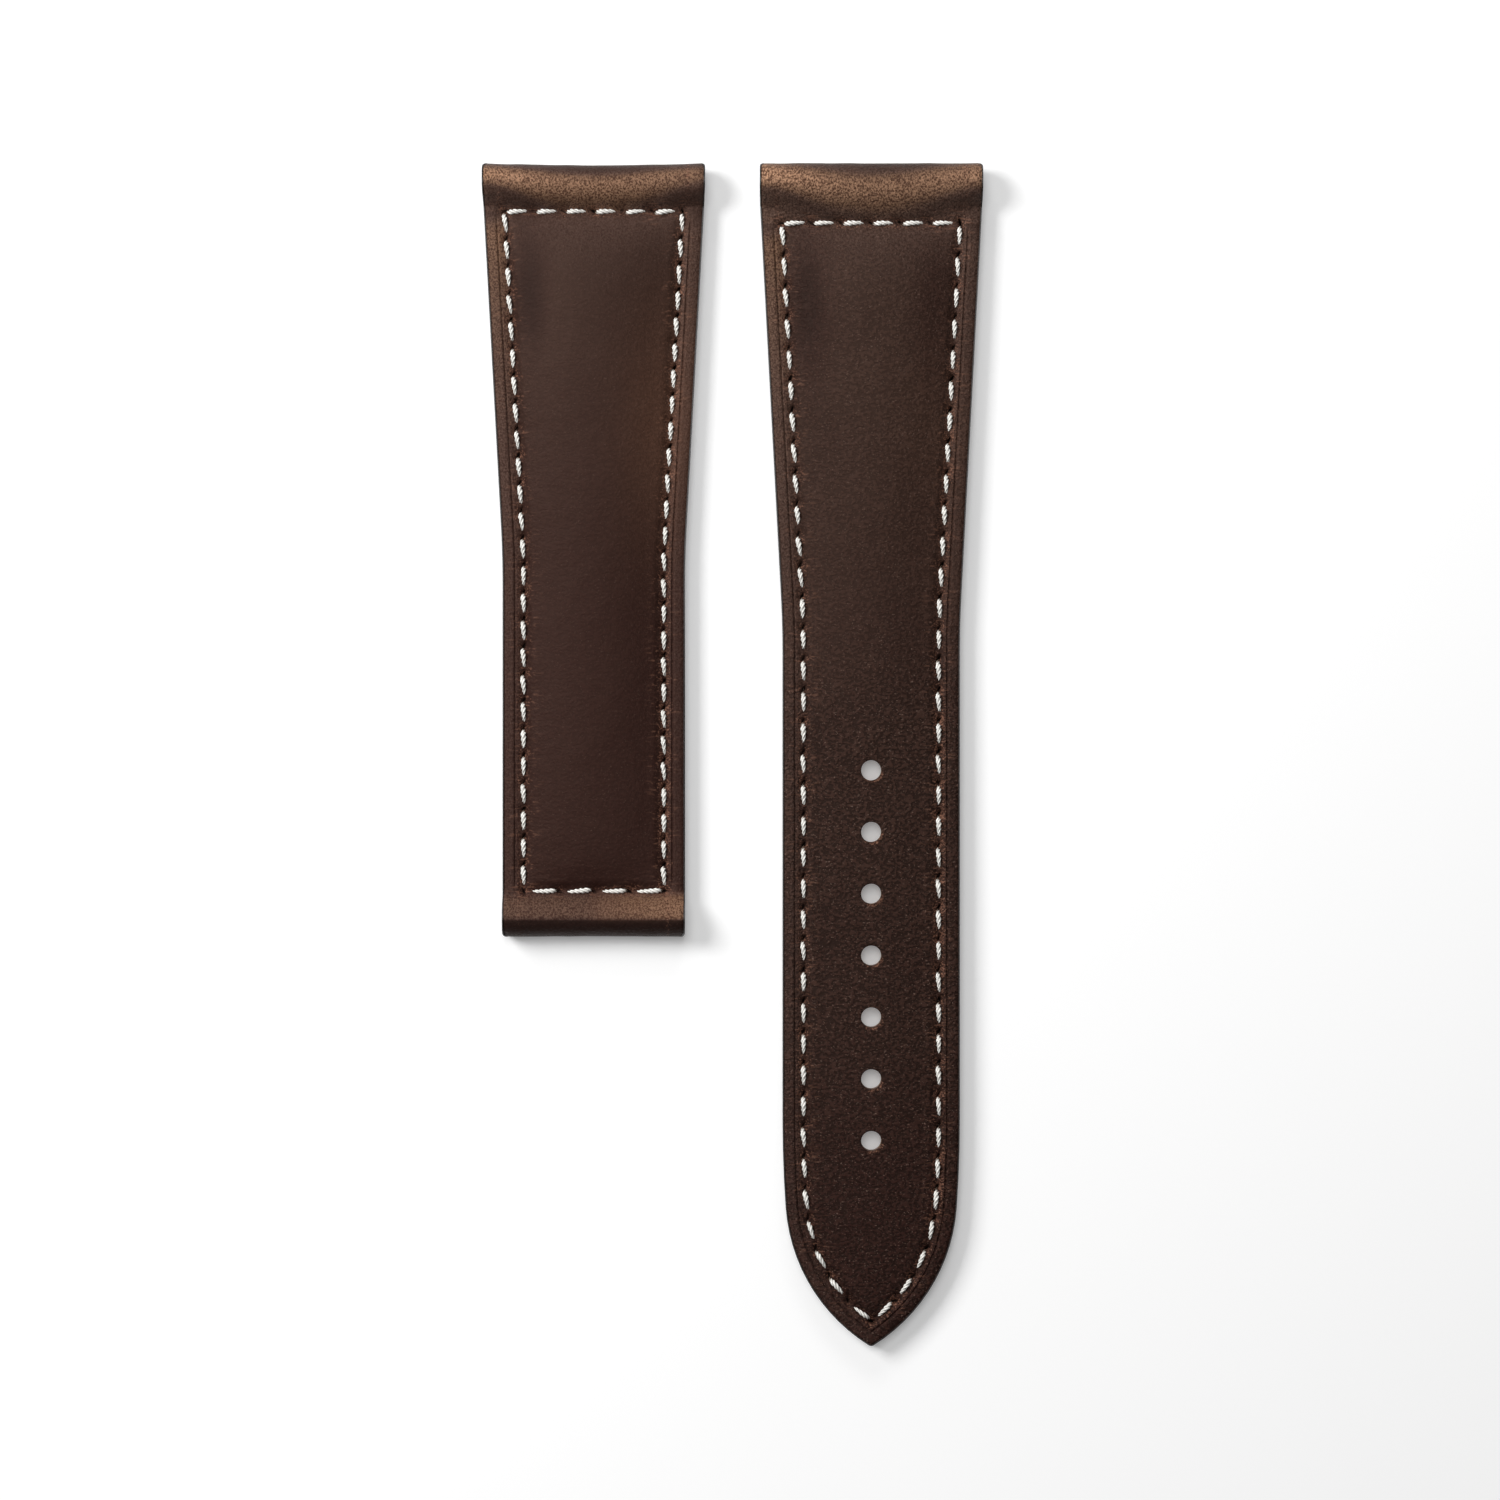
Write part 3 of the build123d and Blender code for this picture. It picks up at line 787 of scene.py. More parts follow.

# %% [markdown]
# ## Wear and painted light
# Seven measures are painted on the points of the leather, and the calf's recipe turns them into colour. Several
# paint light and shade:
# - wear: the dark dye has rubbed off beside the seam; a painted highlight lies on the lower rim of each punched
#   hole
# - slit: painted shade in the needle slits, in soft patches beside the crown and under the clasp end's nose
# - grain and highlight: pebbles open where the leather is stretched over a fold; a painted highlight lies along
#   the loops and the slopes beside the seam rows, and painted sheen on the margins
# - painted shade: darker towards the free end, in the soft patches and on the clasp end's front
# - pulled: fine lines that run from the needle holes into the crown
# - warm and lit: redder leather where the crown has been handled, with painted light on its right flank and a
#   painted highlight at the clasp end
# - creased: how strong the fine wrinkles of the crown are

# %% Measure the wear and painted light
HOLE_WEAR = 0.5
RIDGE_WEAR, RIGHT_WEAR = 0.3, 0.18
# Painted highlight on the lower rim of each punched hole
PUNCH_RIM_HIGHLIGHT = 0.75
RIGHT_FALL = 0.2
# Painted highlight kept in the valley behind a loop, and on the slope that rises past the watch end's seam row
VALLEY_HIGHLIGHT = 0.14
ROW_HIGHLIGHT, ROW_REACH = 0.14, 3.0
# Painted sheen on the margins: strongest at the watch end and on the left
LEFT_MARGIN_SHEEN, LEFT_REACH, LEFT_REST = 0.38, 18, 0.05
RIGHT_MARGIN_SHEEN = 0.125
# Painted highlight on the clasp end's slope behind its seam row, growing towards the right
CLASP_HIGHLIGHT, CLASP_SLANT = 0.21, 0.2
# Painted shade in soft patches beside the crown, behind the watch end's fold
PATCH_PLACE, PATCH_REACH, PATCH_SHADE = 8, 9, 0.42
# Redder, lighter right flank of the crown: partly handled leather, partly painted light; the clasp end's right
# side gets a painted red highlight
WARM_PLACE, WARM_REACH, CLASP_WARM = 21, 11, 0.6
# Painted shade under the clasp end's nose
NOSE_SHADE = 0.55
# How each half has worn, and where light and shade are painted on it: the loop's painted highlight, the margins'
# painted sheen, the places and shares of painted shade, the shade patch on the right, the warm and lit flank, and
# the wrinkles. Crest, rise, fall, their swells, reaches and places are in millimetres from the watch end, and the
# rest are shares from 0 to 1. Left and right values count towards that side of the strap.
WEAR_AND_LIGHT = {
    "short": SimpleNamespace(
        crest=1.2, crest_swell=1.0, rise=0.85, fall=0.85, fall_swell=1.8, light=0.57, left_light=0.3,
        right_light=-0.2, margin_sheen_reach=50, painted_shade_places=(10, 25, 35, 45, 72), painted_shade=(0.2, 0.6, 0.8, 0.95, 1),
        right_shade_patch=0, warm_and_lit=0.8, creased=0.2, end_creased=0.2,
    ),
    "long": SimpleNamespace(
        crest=1.15, crest_swell=1.25, rise=1.2, fall=1.05, fall_swell=1.5, light=0.53, left_light=0.65,
        right_light=0.2, margin_sheen_reach=25, painted_shade_places=(14, 44, 64, 84, 104), painted_shade=(0, 0.33, 0.47, 0.57, 1),
        right_shade_patch=0.6, warm_and_lit=0.2, creased=0.42, end_creased=0.76,
    ),
}


def worn_and_rim_highlight_share(half, distance, across, seam, inset, right):
    """Wear beside the seam and on the ridge outside it, and a painted highlight on the lower rim of each punched
    hole.
    """
    ridge = bump(inset, (STITCH_INSET + CREASE_INSET) / 2, 0.3)
    worn_and_rim_highlight = (RIDGE_WEAR + RIGHT_WEAR * right) * np.maximum(ridge, 0.8 * bump(seam, 0.4, 0.3))
    worn_and_rim_highlight = worn_and_rim_highlight + HOLE_WEAR * near_rounds(half, distance, across, 1.8, 0.6)
    worn_and_rim_highlight = worn_and_rim_highlight * (0.75 + 0.45 * ripple(distance, across * 1.3))
    # On the lower side of each punched hole, a painted highlight on the rim
    for hole in half.holes:
        reach = np.hypot(distance - hole, across)
        below = smooth_step((distance - hole + 0.5 * across) / np.clip(reach, 0.5, None), 0.2, 1)
        worn_and_rim_highlight = np.maximum(worn_and_rim_highlight, PUNCH_RIM_HIGHLIGHT * bump(reach, HOLE_RADIUS + 0.12, 0.16) * below)
    return worn_and_rim_highlight


def fold_grain_and_highlight(half, distance, share, right):
    """Opened pebbles and a painted highlight on the fold at the watch: strongest along a crest that bows with the
    padding.
    """
    wear = WEAR_AND_LIGHT[half.name]
    middle = (1 - share**2) ** 2
    crest = wear.crest + wear.crest_swell * middle
    fall = wear.fall + RIGHT_FALL * right + wear.fall_swell * middle
    light = wear.light + (wear.left_light + (wear.right_light - wear.left_light) * right) * share**2
    behind = np.maximum(bump(distance, crest, fall), VALLEY_HIGHLIGHT)
    return light * np.where(distance < crest, bump(distance, crest, wear.rise), behind)


def leather_wear_and_light(half, distance, across):
    """The measures of wear and painted light at points on the top of the leather."""
    wear = WEAR_AND_LIGHT[half.name]
    distance, across = np.broadcast_arrays(np.asarray(distance, float), np.asarray(across, float))
    seam, inset = seam_distance(half, distance, across), edge_distance(half, distance, across)
    share = np.clip(np.abs(across) / half_width(half, np.clip(distance, 1, None), 0), 0, 1)
    right = smooth_step(across, -1, 1)
    crown = distance > half.lug_row

    # Painted highlight on the slope past the seam row, and the fold's opened pebbles with their painted highlight
    # before it
    row_grain_and_highlight = ROW_HIGHLIGHT * np.exp(-np.clip(distance - half.lug_row, 0, None) / ROW_REACH) * (1 - share**2)
    grain = np.where(crown, row_grain_and_highlight, fold_grain_and_highlight(half, distance, share, right) * (distance < half.lug_row))
    # Painted sheen on the margins outside the seam, fading away from the watch end
    margin = smooth_step(inset, STITCH_INSET + 0.1, STITCH_INSET - 0.2)
    margin = margin * smooth_step(distance, half.lug_row - 0.6, half.lug_row + 2.5)
    margin_sheen_strength = (LEFT_MARGIN_SHEEN * np.exp(-distance / LEFT_REACH) + LEFT_REST) * (1 - right)
    margin_sheen_strength = margin_sheen_strength + RIGHT_MARGIN_SHEEN * np.exp(-distance / wear.margin_sheen_reach) * right
    grain = grain + margin * margin_sheen_strength

    # Painted shade: soft patches beside the crown, and darker towards the free end
    patch = crown * bump(distance, half.lug_row + PATCH_PLACE, PATCH_REACH) * bump(share, 0.6, 0.22)
    patch = patch * (1 - right * (1 - wear.right_shade_patch))
    painted_shade = np.maximum(np.interp(distance, wear.painted_shade_places, wear.painted_shade), patch)
    # The slit measure holds painted shade: in the needle slits, in the crown's patches and under the nose
    dark = np.maximum(slit(half, distance, across), PATCH_SHADE * patch)
    # Right flank: partly redder handled leather, partly painted light
    warm_and_lit = crown * wear.warm_and_lit * right * bump(share, 0.72, 0.4)
    warm_and_lit = warm_and_lit * bump(distance, half.lug_row + WARM_PLACE, WARM_REACH)
    pulled = near_rounds(half, distance, across, 2.6, 1.2) * smooth_step(share, 0.2, 0.6)
    creased = wear.creased + (wear.end_creased - wear.creased) * smooth_step(distance, 42, 60)
    if not half.pointed:
        left_over = half.length - distance
        # Painted highlight on the clasp end's slope that faces the light
        back = smooth_step(left_over, 1.3, 2.2) * smooth_step(left_over, 4.7, 3.6)
        grain = np.maximum(grain, back * (CLASP_HIGHLIGHT + CLASP_SLANT * np.clip(across, 0, None) / 8))
        # Painted red highlight on the clasp end's right side
        red_highlight = smooth_step(left_over, 5, 4) * smooth_step(left_over, 1.2, 2)
        warm_and_lit = np.maximum(warm_and_lit, CLASP_WARM * right * red_highlight)
        # Painted shade under the clasp end's nose
        dark = np.maximum(dark, NOSE_SHADE * smooth_step(left_over, 1.5, 0.9))
    worn_and_rim_highlight = np.clip(worn_and_rim_highlight_share(half, distance, across, seam, inset, right), 0, 1)
    return np.stack([worn_and_rim_highlight, dark, np.clip(grain, 0, 1), painted_shade, pulled, warm_and_lit, creased], axis=-1)


middle_wear = leather_wear_and_light(long_half, np.array([30.0]), np.array([0.0]))[0]
print("wear on the long crown:", dict(zip(WEAR_AND_LIGHT_NAMES, np.round(middle_wear, 2).tolist())))

# %% [markdown]
# ## Top leather
# One piece of calf leather covers each half. It starts as a flap underneath, turns round the spring bar's tape,
# and runs over the padding to the tip, or round a second bar at the clasp end. A cloth simulation would need a
# voxel mesh, which would rub out the seam and the crease, so the swell is written in the height instead.

# %% Build the top leather
RING_RADIUS = BORE_RADIUS + TAPE
RING_END = math.asin((TAPE_TOP - LOOP_RADIUS) / RING_RADIUS)
RING_END_OUTER = 3.0
RING_JOIN_OUTER = 3.6
FLAP_LENGTH = 8.0
FLAP_STEP = 0.2
FOLD_ROWS = 26
SHORT_DIP, CLASP_DIP = 0.2, 0.04
BOBBIN_GROOVE, GROOVE_SPREAD = 0.4, 0.42
FRONT_RIPPLE, FRONT_TURN_DOWN = 0.03, 0.15
# The clasp end's front face gets painted shade and almost none of the opened pebbles and painted highlight
CLASP_FRONT = {"slit": 0.45, "grain": 0.02, "painted_shade": 1}

# The columns of the inner side: a few at each edge, and those at the borders and in the middle of the holes
PICK_INSETS = (0.12, 0.58, 1.24, 2.12, 2.46, 3.0)
side_picks = [EDGE_COLUMNS.index(inset) for inset in PICK_INSETS]
patch_start = len(EDGE_COLUMNS) + OUTER_CELLS - 1
patch_end = patch_start + PATCH_CELLS
PICKS = side_picks + [patch_start - OUTER_CELLS // 2] + list(range(patch_start, patch_end + 1))
PICKS += [patch_end + OUTER_CELLS // 2] + [COLUMN_COUNT - 1 - pick for pick in reversed(side_picks)]


def underside(half, distance, across):
    """Height of the underside: flat, with a channel for the bobbin thread and softly rounded sides."""
    groove = BOBBIN_GROOVE * bump(seam_distance(half, distance, across), 0, GROOVE_SPREAD)
    groove = groove * smooth_step(distance, half.lug_row - 0.6, half.lug_row - 0.2)
    return groove + 0.1 * np.clip(1 - edge_distance(half, distance, across) / 0.5, 0, 1) ** 2


def padding_height(half, distance, across):
    """Height of the padding's top, where the inner side of the leather lies on it."""
    lens = crown_height(half, distance, across)
    return TAPE_TOP + np.where(edge_distance(half, distance, across) > PADDING_INSET - 0.05, lens, 0)


def flap_rows(half, distances):
    """Upper and lower points of a flap, whose outer side is the underside."""
    outer = column_places(half, distances, EDGE_COLUMNS)
    spread = np.broadcast_to(distances[:, None], outer.shape)
    upper = np.stack([spread, outer, underside(half, spread, outer)], axis=-1)
    lower = upper[:, PICKS].copy()
    lower[..., 2] = LINING
    return upper, lower


def fold_rows(half, turns, dip, from_end=False):
    """Upper and lower points of the fold round a bar, from underneath to its crest."""

    def place(distance):
        return half.length - distance if from_end else distance

    lean, lift = np.cos(turns)[:, None], np.sin(turns)[:, None]
    across = column_places(half, place(LOOP_RADIUS * (1 - lean[:, 0])), EDGE_COLUMNS)
    crest = top_height(half, place(LOOP_RADIUS), across[:1]) - 2 * LOOP_RADIUS
    base = -underside(half, place(LOOP_RADIUS), across[:1])
    width = half_width(half, place(LOOP_RADIUS), 0)
    share = np.clip(np.abs(across) / width, 0, 1)
    turned_down = np.clip(1 - (1 - share) * width / EDGE_REACH, 0, 1) ** 2
    front = FRONT_RIPPLE * ripple(turns[:, None] * LOOP_RADIUS, across) - FRONT_TURN_DOWN * turned_down
    swell = LOOP_RADIUS + lean**2 * front + lift**2 * np.where(lift > 0, crest, base)
    distances = place(LOOP_RADIUS - (swell - dip * (1 - share**2)) * lean)
    outer = np.stack([distances, across, LOOP_RADIUS + swell * lift], axis=-1)
    across = across[:, PICKS]
    distances = place(LOOP_RADIUS - RING_RADIUS * np.broadcast_to(lean, across.shape))
    height = LOOP_RADIUS + RING_RADIUS * np.broadcast_to(lift, across.shape)
    return outer, np.stack([distances, across, height], axis=-1)


def inner_path(distances):
    """Distance and height of the leather's inner side under each row on top, next to a bar's ring."""
    turn = np.interp(distances, [LOOP_RADIUS, RING_END_OUTER], [math.pi / 2, RING_END])
    ring_end = LOOP_RADIUS + RING_RADIUS * math.cos(RING_END)
    flat = np.interp(distances, [RING_END_OUTER, RING_JOIN_OUTER], [ring_end, RING_JOIN_OUTER])
    ring = LOOP_RADIUS + RING_RADIUS * np.cos(turn)
    on_ring = distances < RING_END_OUTER
    distance = np.where(on_ring, ring, np.where(distances < RING_JOIN_OUTER, flat, distances))
    return distance, np.where(on_ring, LOOP_RADIUS + RING_RADIUS * np.sin(turn), TAPE_TOP)


def top_rows(half):
    """Upper and lower points of the top, from the crest of the loop at the watch to the free end."""
    last = half.length - (EDGE_COLUMNS[0] if half.pointed else LOOP_RADIUS)
    rows = rows_between(half, LOOP_RADIUS, last, ROW_STEP)
    across = column_places(half, rows, EDGE_COLUMNS)
    distances = np.broadcast_to(rows[:, None], across.shape)
    upper = np.stack([distances, across, top_height(half, distances, across)], axis=-1)
    distance, height = inner_path(rows)
    if not half.pointed:
        back_distance, back_height = inner_path(half.length - rows)
        behind = rows > half.length / 2
        distance = np.where(behind, half.length - back_distance, distance)
        height = np.where(behind, back_height, height)
    across = column_places(half, distance, EDGE_COLUMNS)[:, PICKS]
    spread = np.broadcast_to(distance[:, None], across.shape)
    height = height[:, None] + padding_height(half, spread, across) - TAPE_TOP
    return rows, (upper, np.stack([spread, across, height], axis=-1))


def make_top_leather(half, material, cut_material):
    """Builds the whole top leather of a half."""
    rows, top = top_rows(half)
    turns = np.linspace(-math.pi / 2, math.pi / 2, FOLD_ROWS + 1)[:-1]
    flap = steps(FLAP_LENGTH, LOOP_RADIUS, FLAP_STEP)[:-1]
    blocks = [flap_rows(half, flap), fold_rows(half, turns, 0 if half.pointed else SHORT_DIP), top]
    if not half.pointed:
        blocks.append([block[::-1] for block in fold_rows(half, turns, CLASP_DIP, from_end=True)])
        blocks.append([block[::-1] for block in flap_rows(half, half.length - flap)])
    wear = [leather_wear_and_light(half, upper[..., 0], upper[..., 1]) for upper, _ in blocks]
    wear[0] *= 0
    # The opened pebbles and the painted highlight fade round the fold towards its underside
    wear[1][..., WEAR_AND_LIGHT_NAMES.index("grain")] *= 0.6 + 0.4 * np.sin(turns)[:, None]
    if not half.pointed:
        for name, value in CLASP_FRONT.items():
            wear[3][..., WEAR_AND_LIGHT_NAMES.index(name)] = value
        wear[4] *= 0
    first = len(flap) + len(turns)
    columns = (patch_start, patch_end), (PICKS.index(patch_start), PICKS.index(patch_end))
    holes = []
    for hole in half.holes:
        borders = [first + nearest(rows, hole + side) for side in (-HOLE_PATCH, HOLE_PATCH)]
        holes.append((hole, (*borders, *columns[0]), (*borders, *columns[1]),
                      lambda d, x: top_height(half, d, x), lambda d, x: padding_height(half, d, x)))
    upper, lower = (np.concatenate([block[side] for block in blocks]) for side in (0, 1))
    layer = Layer(half)
    layer.add_skins(upper, lower, np.concatenate(wear), PICKS, holes, lambda d, x: leather_wear_and_light(half, d, x))
    return layer.finish(f"{half.name}_top_leather_skin", material, cut_material)


print("flaps", FLAP_LENGTH, "mm long,", len(PICKS), "columns on the inner side")

# %% [markdown]
# ## Inner layers
# Under the top leather lie a crowned padding, a woven tape that stops the strap from stretching and lines the
# bars' loops, and the soft lining that touches the wrist. They show at the cut ends, in the loops and in the
# punched holes. The padding and the lining are plates between two heights.

# %% Define the plates
LAYER_GAP = 0.01
PLATE_STEP = 0.5
PADDING_COLUMNS = [2.52, 2.75, 3.0]
LINING_START = FLAP_LENGTH + 0.05
LINING_STEP = 0.3
TIP_SETBACK = 0.14
CORE_SETBACK = 0.1
NOSE_SETBACK = 3.6


def make_plate(half, name, start, end, insets, upper_height, lower_height, material, step):
    """A closed plate between two distances and two heights, with the punched holes through it."""
    rows = rows_between(half, start, end, step)
    across = column_places(half, rows, insets)
    distances = np.broadcast_to(rows[:, None], across.shape)
    heights = upper_height, lower_height
    upper, lower = (np.stack([distances, across, height(distances, across)], axis=-1) for height in heights)
    first = len(insets) + OUTER_CELLS - 1
    holes = []
    for hole in half.holes:
        borders = [nearest(rows, hole + side) for side in (-HOLE_PATCH, HOLE_PATCH)]
        gap = (*borders, first, first + PATCH_CELLS)
        holes.append((hole, gap, gap, *heights))
    layer = Layer(half)
    layer.add_skins(upper, lower, None, range(across.shape[1]), holes)
    return layer.finish(name, material)


def make_padding(half, material):
    """The crowned padding under the top leather."""
    end = nose_start - NOSE_SETBACK if half.pointed else half.padding_end
    return make_plate(half, f"{half.name}_padding_core", half.padding_start + CORE_SETBACK, end - CORE_SETBACK,
                      PADDING_COLUMNS, lambda d, x: padding_height(half, d, x) - LAYER_GAP,
                      lambda d, x: x * 0 + TAPE_TOP + LAYER_GAP / 4, material, PLATE_STEP)


def make_lining(half, material):
    """The lining, butted to the flaps."""
    end = half.length - (TIP_SETBACK if half.pointed else LINING_START)
    return make_plate(half, f"{half.name}_lining_sheet", LINING_START, end, EDGE_COLUMNS,
                      lambda d, x: x * 0 + LINING - LAYER_GAP, lambda d, x: underside(half, d, x), material,
                      LINING_STEP)


print("lining starts", LINING_START, "mm from a folded end")

# %% [markdown]
# ## Tape and edge paint
# The tape and the painted edges keep the frame's own shape, which is already a thin sheet and a thin coat. Their
# meshes are copied, divided finely near the folds, rounded off at the corners like the leather, and the tape
# gets the slight unevenness of cloth.

# %% Define the softened copies
PAINT_REACH, PAINT_LONGEST = 1.2, 0.2
TAPE_REACH, TAPE_LONGEST, TAPE_UNEVENNESS = 4.5, 0.7, 0.008
DIVISIONS = 6


def softened(half, node, name, material, reach, longest, unevenness=0.0):
    """A merged copy of a node's mesh, with no edge near a folded end longer than asked."""
    mesh = frame["nodes"][f"{half.name}_{node}"].data.copy()
    work = bmesh.new()
    work.from_mesh(mesh)
    bmesh.ops.remove_doubles(work, verts=work.verts, dist=MERGE_REACH)
    for _ in range(DIVISIONS):
        bmesh.ops.triangulate(work, faces=[face for face in work.faces if len(face.verts) > 3])
        long = [edge for edge in work.edges if edge.calc_length() > longest * MM and reach > min(
            end_distance(half, half.watch_y - point.co.y / MM) for point in edge.verts)]
        if not long:
            break
        bmesh.ops.subdivide_edges(work, edges=long, cuts=1)
    bmesh.ops.triangulate(work, faces=work.faces)
    x, y, z = (np.array([point.co for point in work.verts]) / MM).T
    distance, across = half.watch_y - y, x - half.centre_x
    across = across - np.sign(across) * corner_cut(half, distance)
    moved = half.place(distance, across, z + unevenness * wrinkle(distance, (x - half.centre_x) * 2))
    for point, place in zip(work.verts, moved):
        point.co = place
    work.to_mesh(mesh)
    work.free()
    mesh.materials.clear()
    mesh.materials.append(material)
    mesh.shade_smooth()
    mesh.set_sharp_from_angle(angle=SHARP_ANGLE)
    return add_object(name, mesh)


print("edge paint corners rounded by", LOOP_CORNER_RADIUS, "mm")

# %% [markdown]
# ## Twisted thread
# Every thread is one closed run round its half's seam. A Geometry Nodes tree sweeps a three-lobed section along
# the line and turns it as it goes, so the strands show as real relief. The lobes are also stored as a measure,
# which the thread's recipe uses to paint shade into the grooves between the strands.

# %% Define the thread's node tree
THREAD_SIDES = 15
STRANDS = 3.0
THREAD_INPUTS = {
    "Line": "Geometry", "Ring spacing": "Float", "Turn length": "Float", "Strand relief": "Float",
    "Material": "Material",
}


def make_thread_tree():
    """The node tree that sweeps and twists the thread, and the names of its inputs' sockets."""
    tree = bpy.data.node_groups.new("twisted_thread", "GeometryNodeTree")
    sockets = {}
    for name, kind in THREAD_INPUTS.items():
        socket = tree.interface.new_socket(name, in_out="INPUT", socket_type="NodeSocket" + kind)
        sockets[name] = socket.identifier
    tree.interface.new_socket("Thread", in_out="OUTPUT", socket_type="NodeSocketGeometry")
    given = tree.nodes.new("NodeGroupInput").outputs

    circle = add_node(tree, "GeometryNodeCurvePrimitiveCircle", {"Resolution": THREAD_SIDES, "Radius": 1.0})
    place = add_node(tree, "GeometryNodeInputPosition")
    parts = add_node(tree, "ShaderNodeSeparateXYZ", {0: place}).outputs
    turn = add_node(tree, "ShaderNodeMath", {0: parts["Y"], 1: parts["X"]}, operation="ARCTAN2")
    lobes = add_node(tree, "ShaderNodeMath", {0: turn, 1: STRANDS}, **TIMES)
    wave = add_node(tree, "ShaderNodeMath", {0: lobes}, operation="COSINE")
    reach = add_node(tree, "ShaderNodeMath", {0: wave, 1: given["Strand relief"], 2: 1.0}, **TIMES_PLUS)
    lobed = add_node(tree, "ShaderNodeVectorMath", {0: place, "Scale": reach}, operation="SCALE")
    strand = {"Geometry": circle, "Name": "strand", "Value": wave}
    marked = add_node(tree, "GeometryNodeStoreNamedAttribute", strand, data_type="FLOAT", domain="POINT")
    section = add_node(tree, "GeometryNodeSetPosition", {"Geometry": marked, "Position": lobed})

    spaced = {"Curve": given["Line"], "Length": given["Ring spacing"]}
    rings = add_node(tree, "GeometryNodeResampleCurve", spaced, mode="LENGTH")
    reached = add_node(tree, "GeometryNodeSplineParameter").outputs["Length"]
    turns = add_node(tree, "ShaderNodeMath", {0: reached, 1: given["Turn length"]}, operation="DIVIDE")
    tilt = add_node(tree, "ShaderNodeMath", {0: turns, 1: 2 * math.pi}, **TIMES)
    tilted = add_node(tree, "GeometryNodeSetCurveTilt", {"Curve": rings, "Tilt": tilt})
    size = add_node(tree, "GeometryNodeInputRadius")
    sweep = {"Curve": tilted, "Profile Curve": section, "Scale": size}
    swept = add_node(tree, "GeometryNodeCurveToMesh", sweep)
    smooth = add_node(tree, "GeometryNodeSetShadeSmooth", {0: swept})
    whole = add_node(tree, "GeometryNodeRealizeInstances", {0: smooth})
    dressed = add_node(tree, "GeometryNodeSetMaterial", {"Geometry": whole, "Material": given["Material"]})
    add_node(tree, "NodeGroupOutput", {0: dressed})
    return tree, sockets


thread_tree, thread_sockets = make_thread_tree()
print("thread tree with inputs", ", ".join(thread_sockets))

# %% [markdown]
# ## Threads
# Between two holes the needle thread rises out of the slit, lies over the leather and dives again. Both threads
# meet in the middle of the stack at every hole, as a lockstitch does. The places along a stitch are shares of
# it, given for a hidden end of one millimetre, and the heights are in millimetres above the table.

# %% Define the threads
THREAD_RADIUS = 0.18
LOCK_LEVEL = MARGIN_TOP / 2
THREAD_LEAN = 0.07
SHORT_STITCH = 2.75
RISE_PLACES, LYING_SHARES, DIVE_PLACES = (0.08, 0.27, 0.46, 0.7), (0.4, 0.55), (0.86, 0.58, 0.26)
NEEDLE_HEIGHTS = (1.15, 1.4, 1.82, 2.03, 2.04, 1.95, 1.8, 1.45, 1.15)
BOBBIN_HEIGHTS = (0.8, 0.55, 0.37, 0.33, 0.33, 0.33, 0.37, 0.55, 0.8)
THREAD_SIZES = (0.6, 0.76, 1.06, 1.2, 1.1, 0.86, 0.7, 0.62, 0.6)
RING_SPACING, TURN_LENGTH, STRAND_RELIEF = 0.1 * MM, 1.5 * MM, 0.27


def thread_path(half, heights):
    """Control points and radii in millimetres along the whole seam, from hole to hole and back to the first."""
    points, radii = [], []
    for (start_y, start_x), (end_y, end_x) in zip(half.needle_holes, np.roll(half.needle_holes, -1, axis=0)):
        run = np.array([end_x - start_x, start_y - end_y])
        reach = np.linalg.norm(run)
        left = np.array([-run[1], run[0]]) / reach
        hidden = 1 / reach if abs(run[1]) < 0.3 * reach else reach / SHORT_STITCH**2
        shares = [place * hidden for place in RISE_PLACES] + list(LYING_SHARES)
        shares += [1 - place * hidden for place in DIVE_PLACES]
        tilt = THREAD_LEAN * rng.uniform(-0.2, 2.2)
        lift, fat = rng.uniform(-0.03, 0.03), rng.uniform(0.93, 1.07)
        order = slice(None)
        if run[1] > abs(run[0]):
            order, shares = slice(None, None, -1), [1 - share for share in reversed(shares)]
        for share, height, size in zip(shares, heights[order], THREAD_SIZES[order]):
            x, y = np.array([start_x, -start_y]) + run * share + left * tilt * (2 * share - 1)
            points.append((-y, x, height + lift * math.sin(math.pi * share)))
            radii.append(size * fat * THREAD_RADIUS)
    return np.array(points), np.array(radii)


def make_thread(half, name, heights, material):
    """Builds one thread of a half as a plain mesh."""
    points, radii = thread_path(half, heights)
    line = bpy.data.curves.new(name, "CURVE")
    line.dimensions = "3D"
    spline = line.splines.new("NURBS")
    spline.points.add(len(points) - 1)
    co = np.ones((len(points), 4), np.float32)
    co[:, :3] = half.place(*points.T)
    spline.points.foreach_set("co", co.ravel())
    spline.points.foreach_set("radius", (radii * MM).astype(np.float32))
    spline.use_cyclic_u = True
    spline.order_u = 4
    spline.resolution_u = 4
    piece = bpy.data.objects.new(name + "_line", line)
    bpy.context.scene.collection.objects.link(piece)
    modifier = piece.modifiers.new("thread", "NODES")
    modifier.node_group = thread_tree
    values = {"Ring spacing": RING_SPACING, "Turn length": TURN_LENGTH, "Strand relief": STRAND_RELIEF,
              "Material": material}
    for key, value in values.items():
        modifier[thread_sockets[key]] = value
    length = np.linalg.norm(np.diff(points, axis=0, append=points[:1]), axis=1).sum()
    seen = piece.evaluated_get(bpy.context.evaluated_depsgraph_get())
    mesh = bpy.data.meshes.new_from_object(seen)
    bpy.data.objects.remove(piece)
    mesh.name = name
    print("thread", round(length), "mm long", end=", ")
    return add_object(name, mesh)


print("threads twist once in", TURN_LENGTH / MM, "mm")

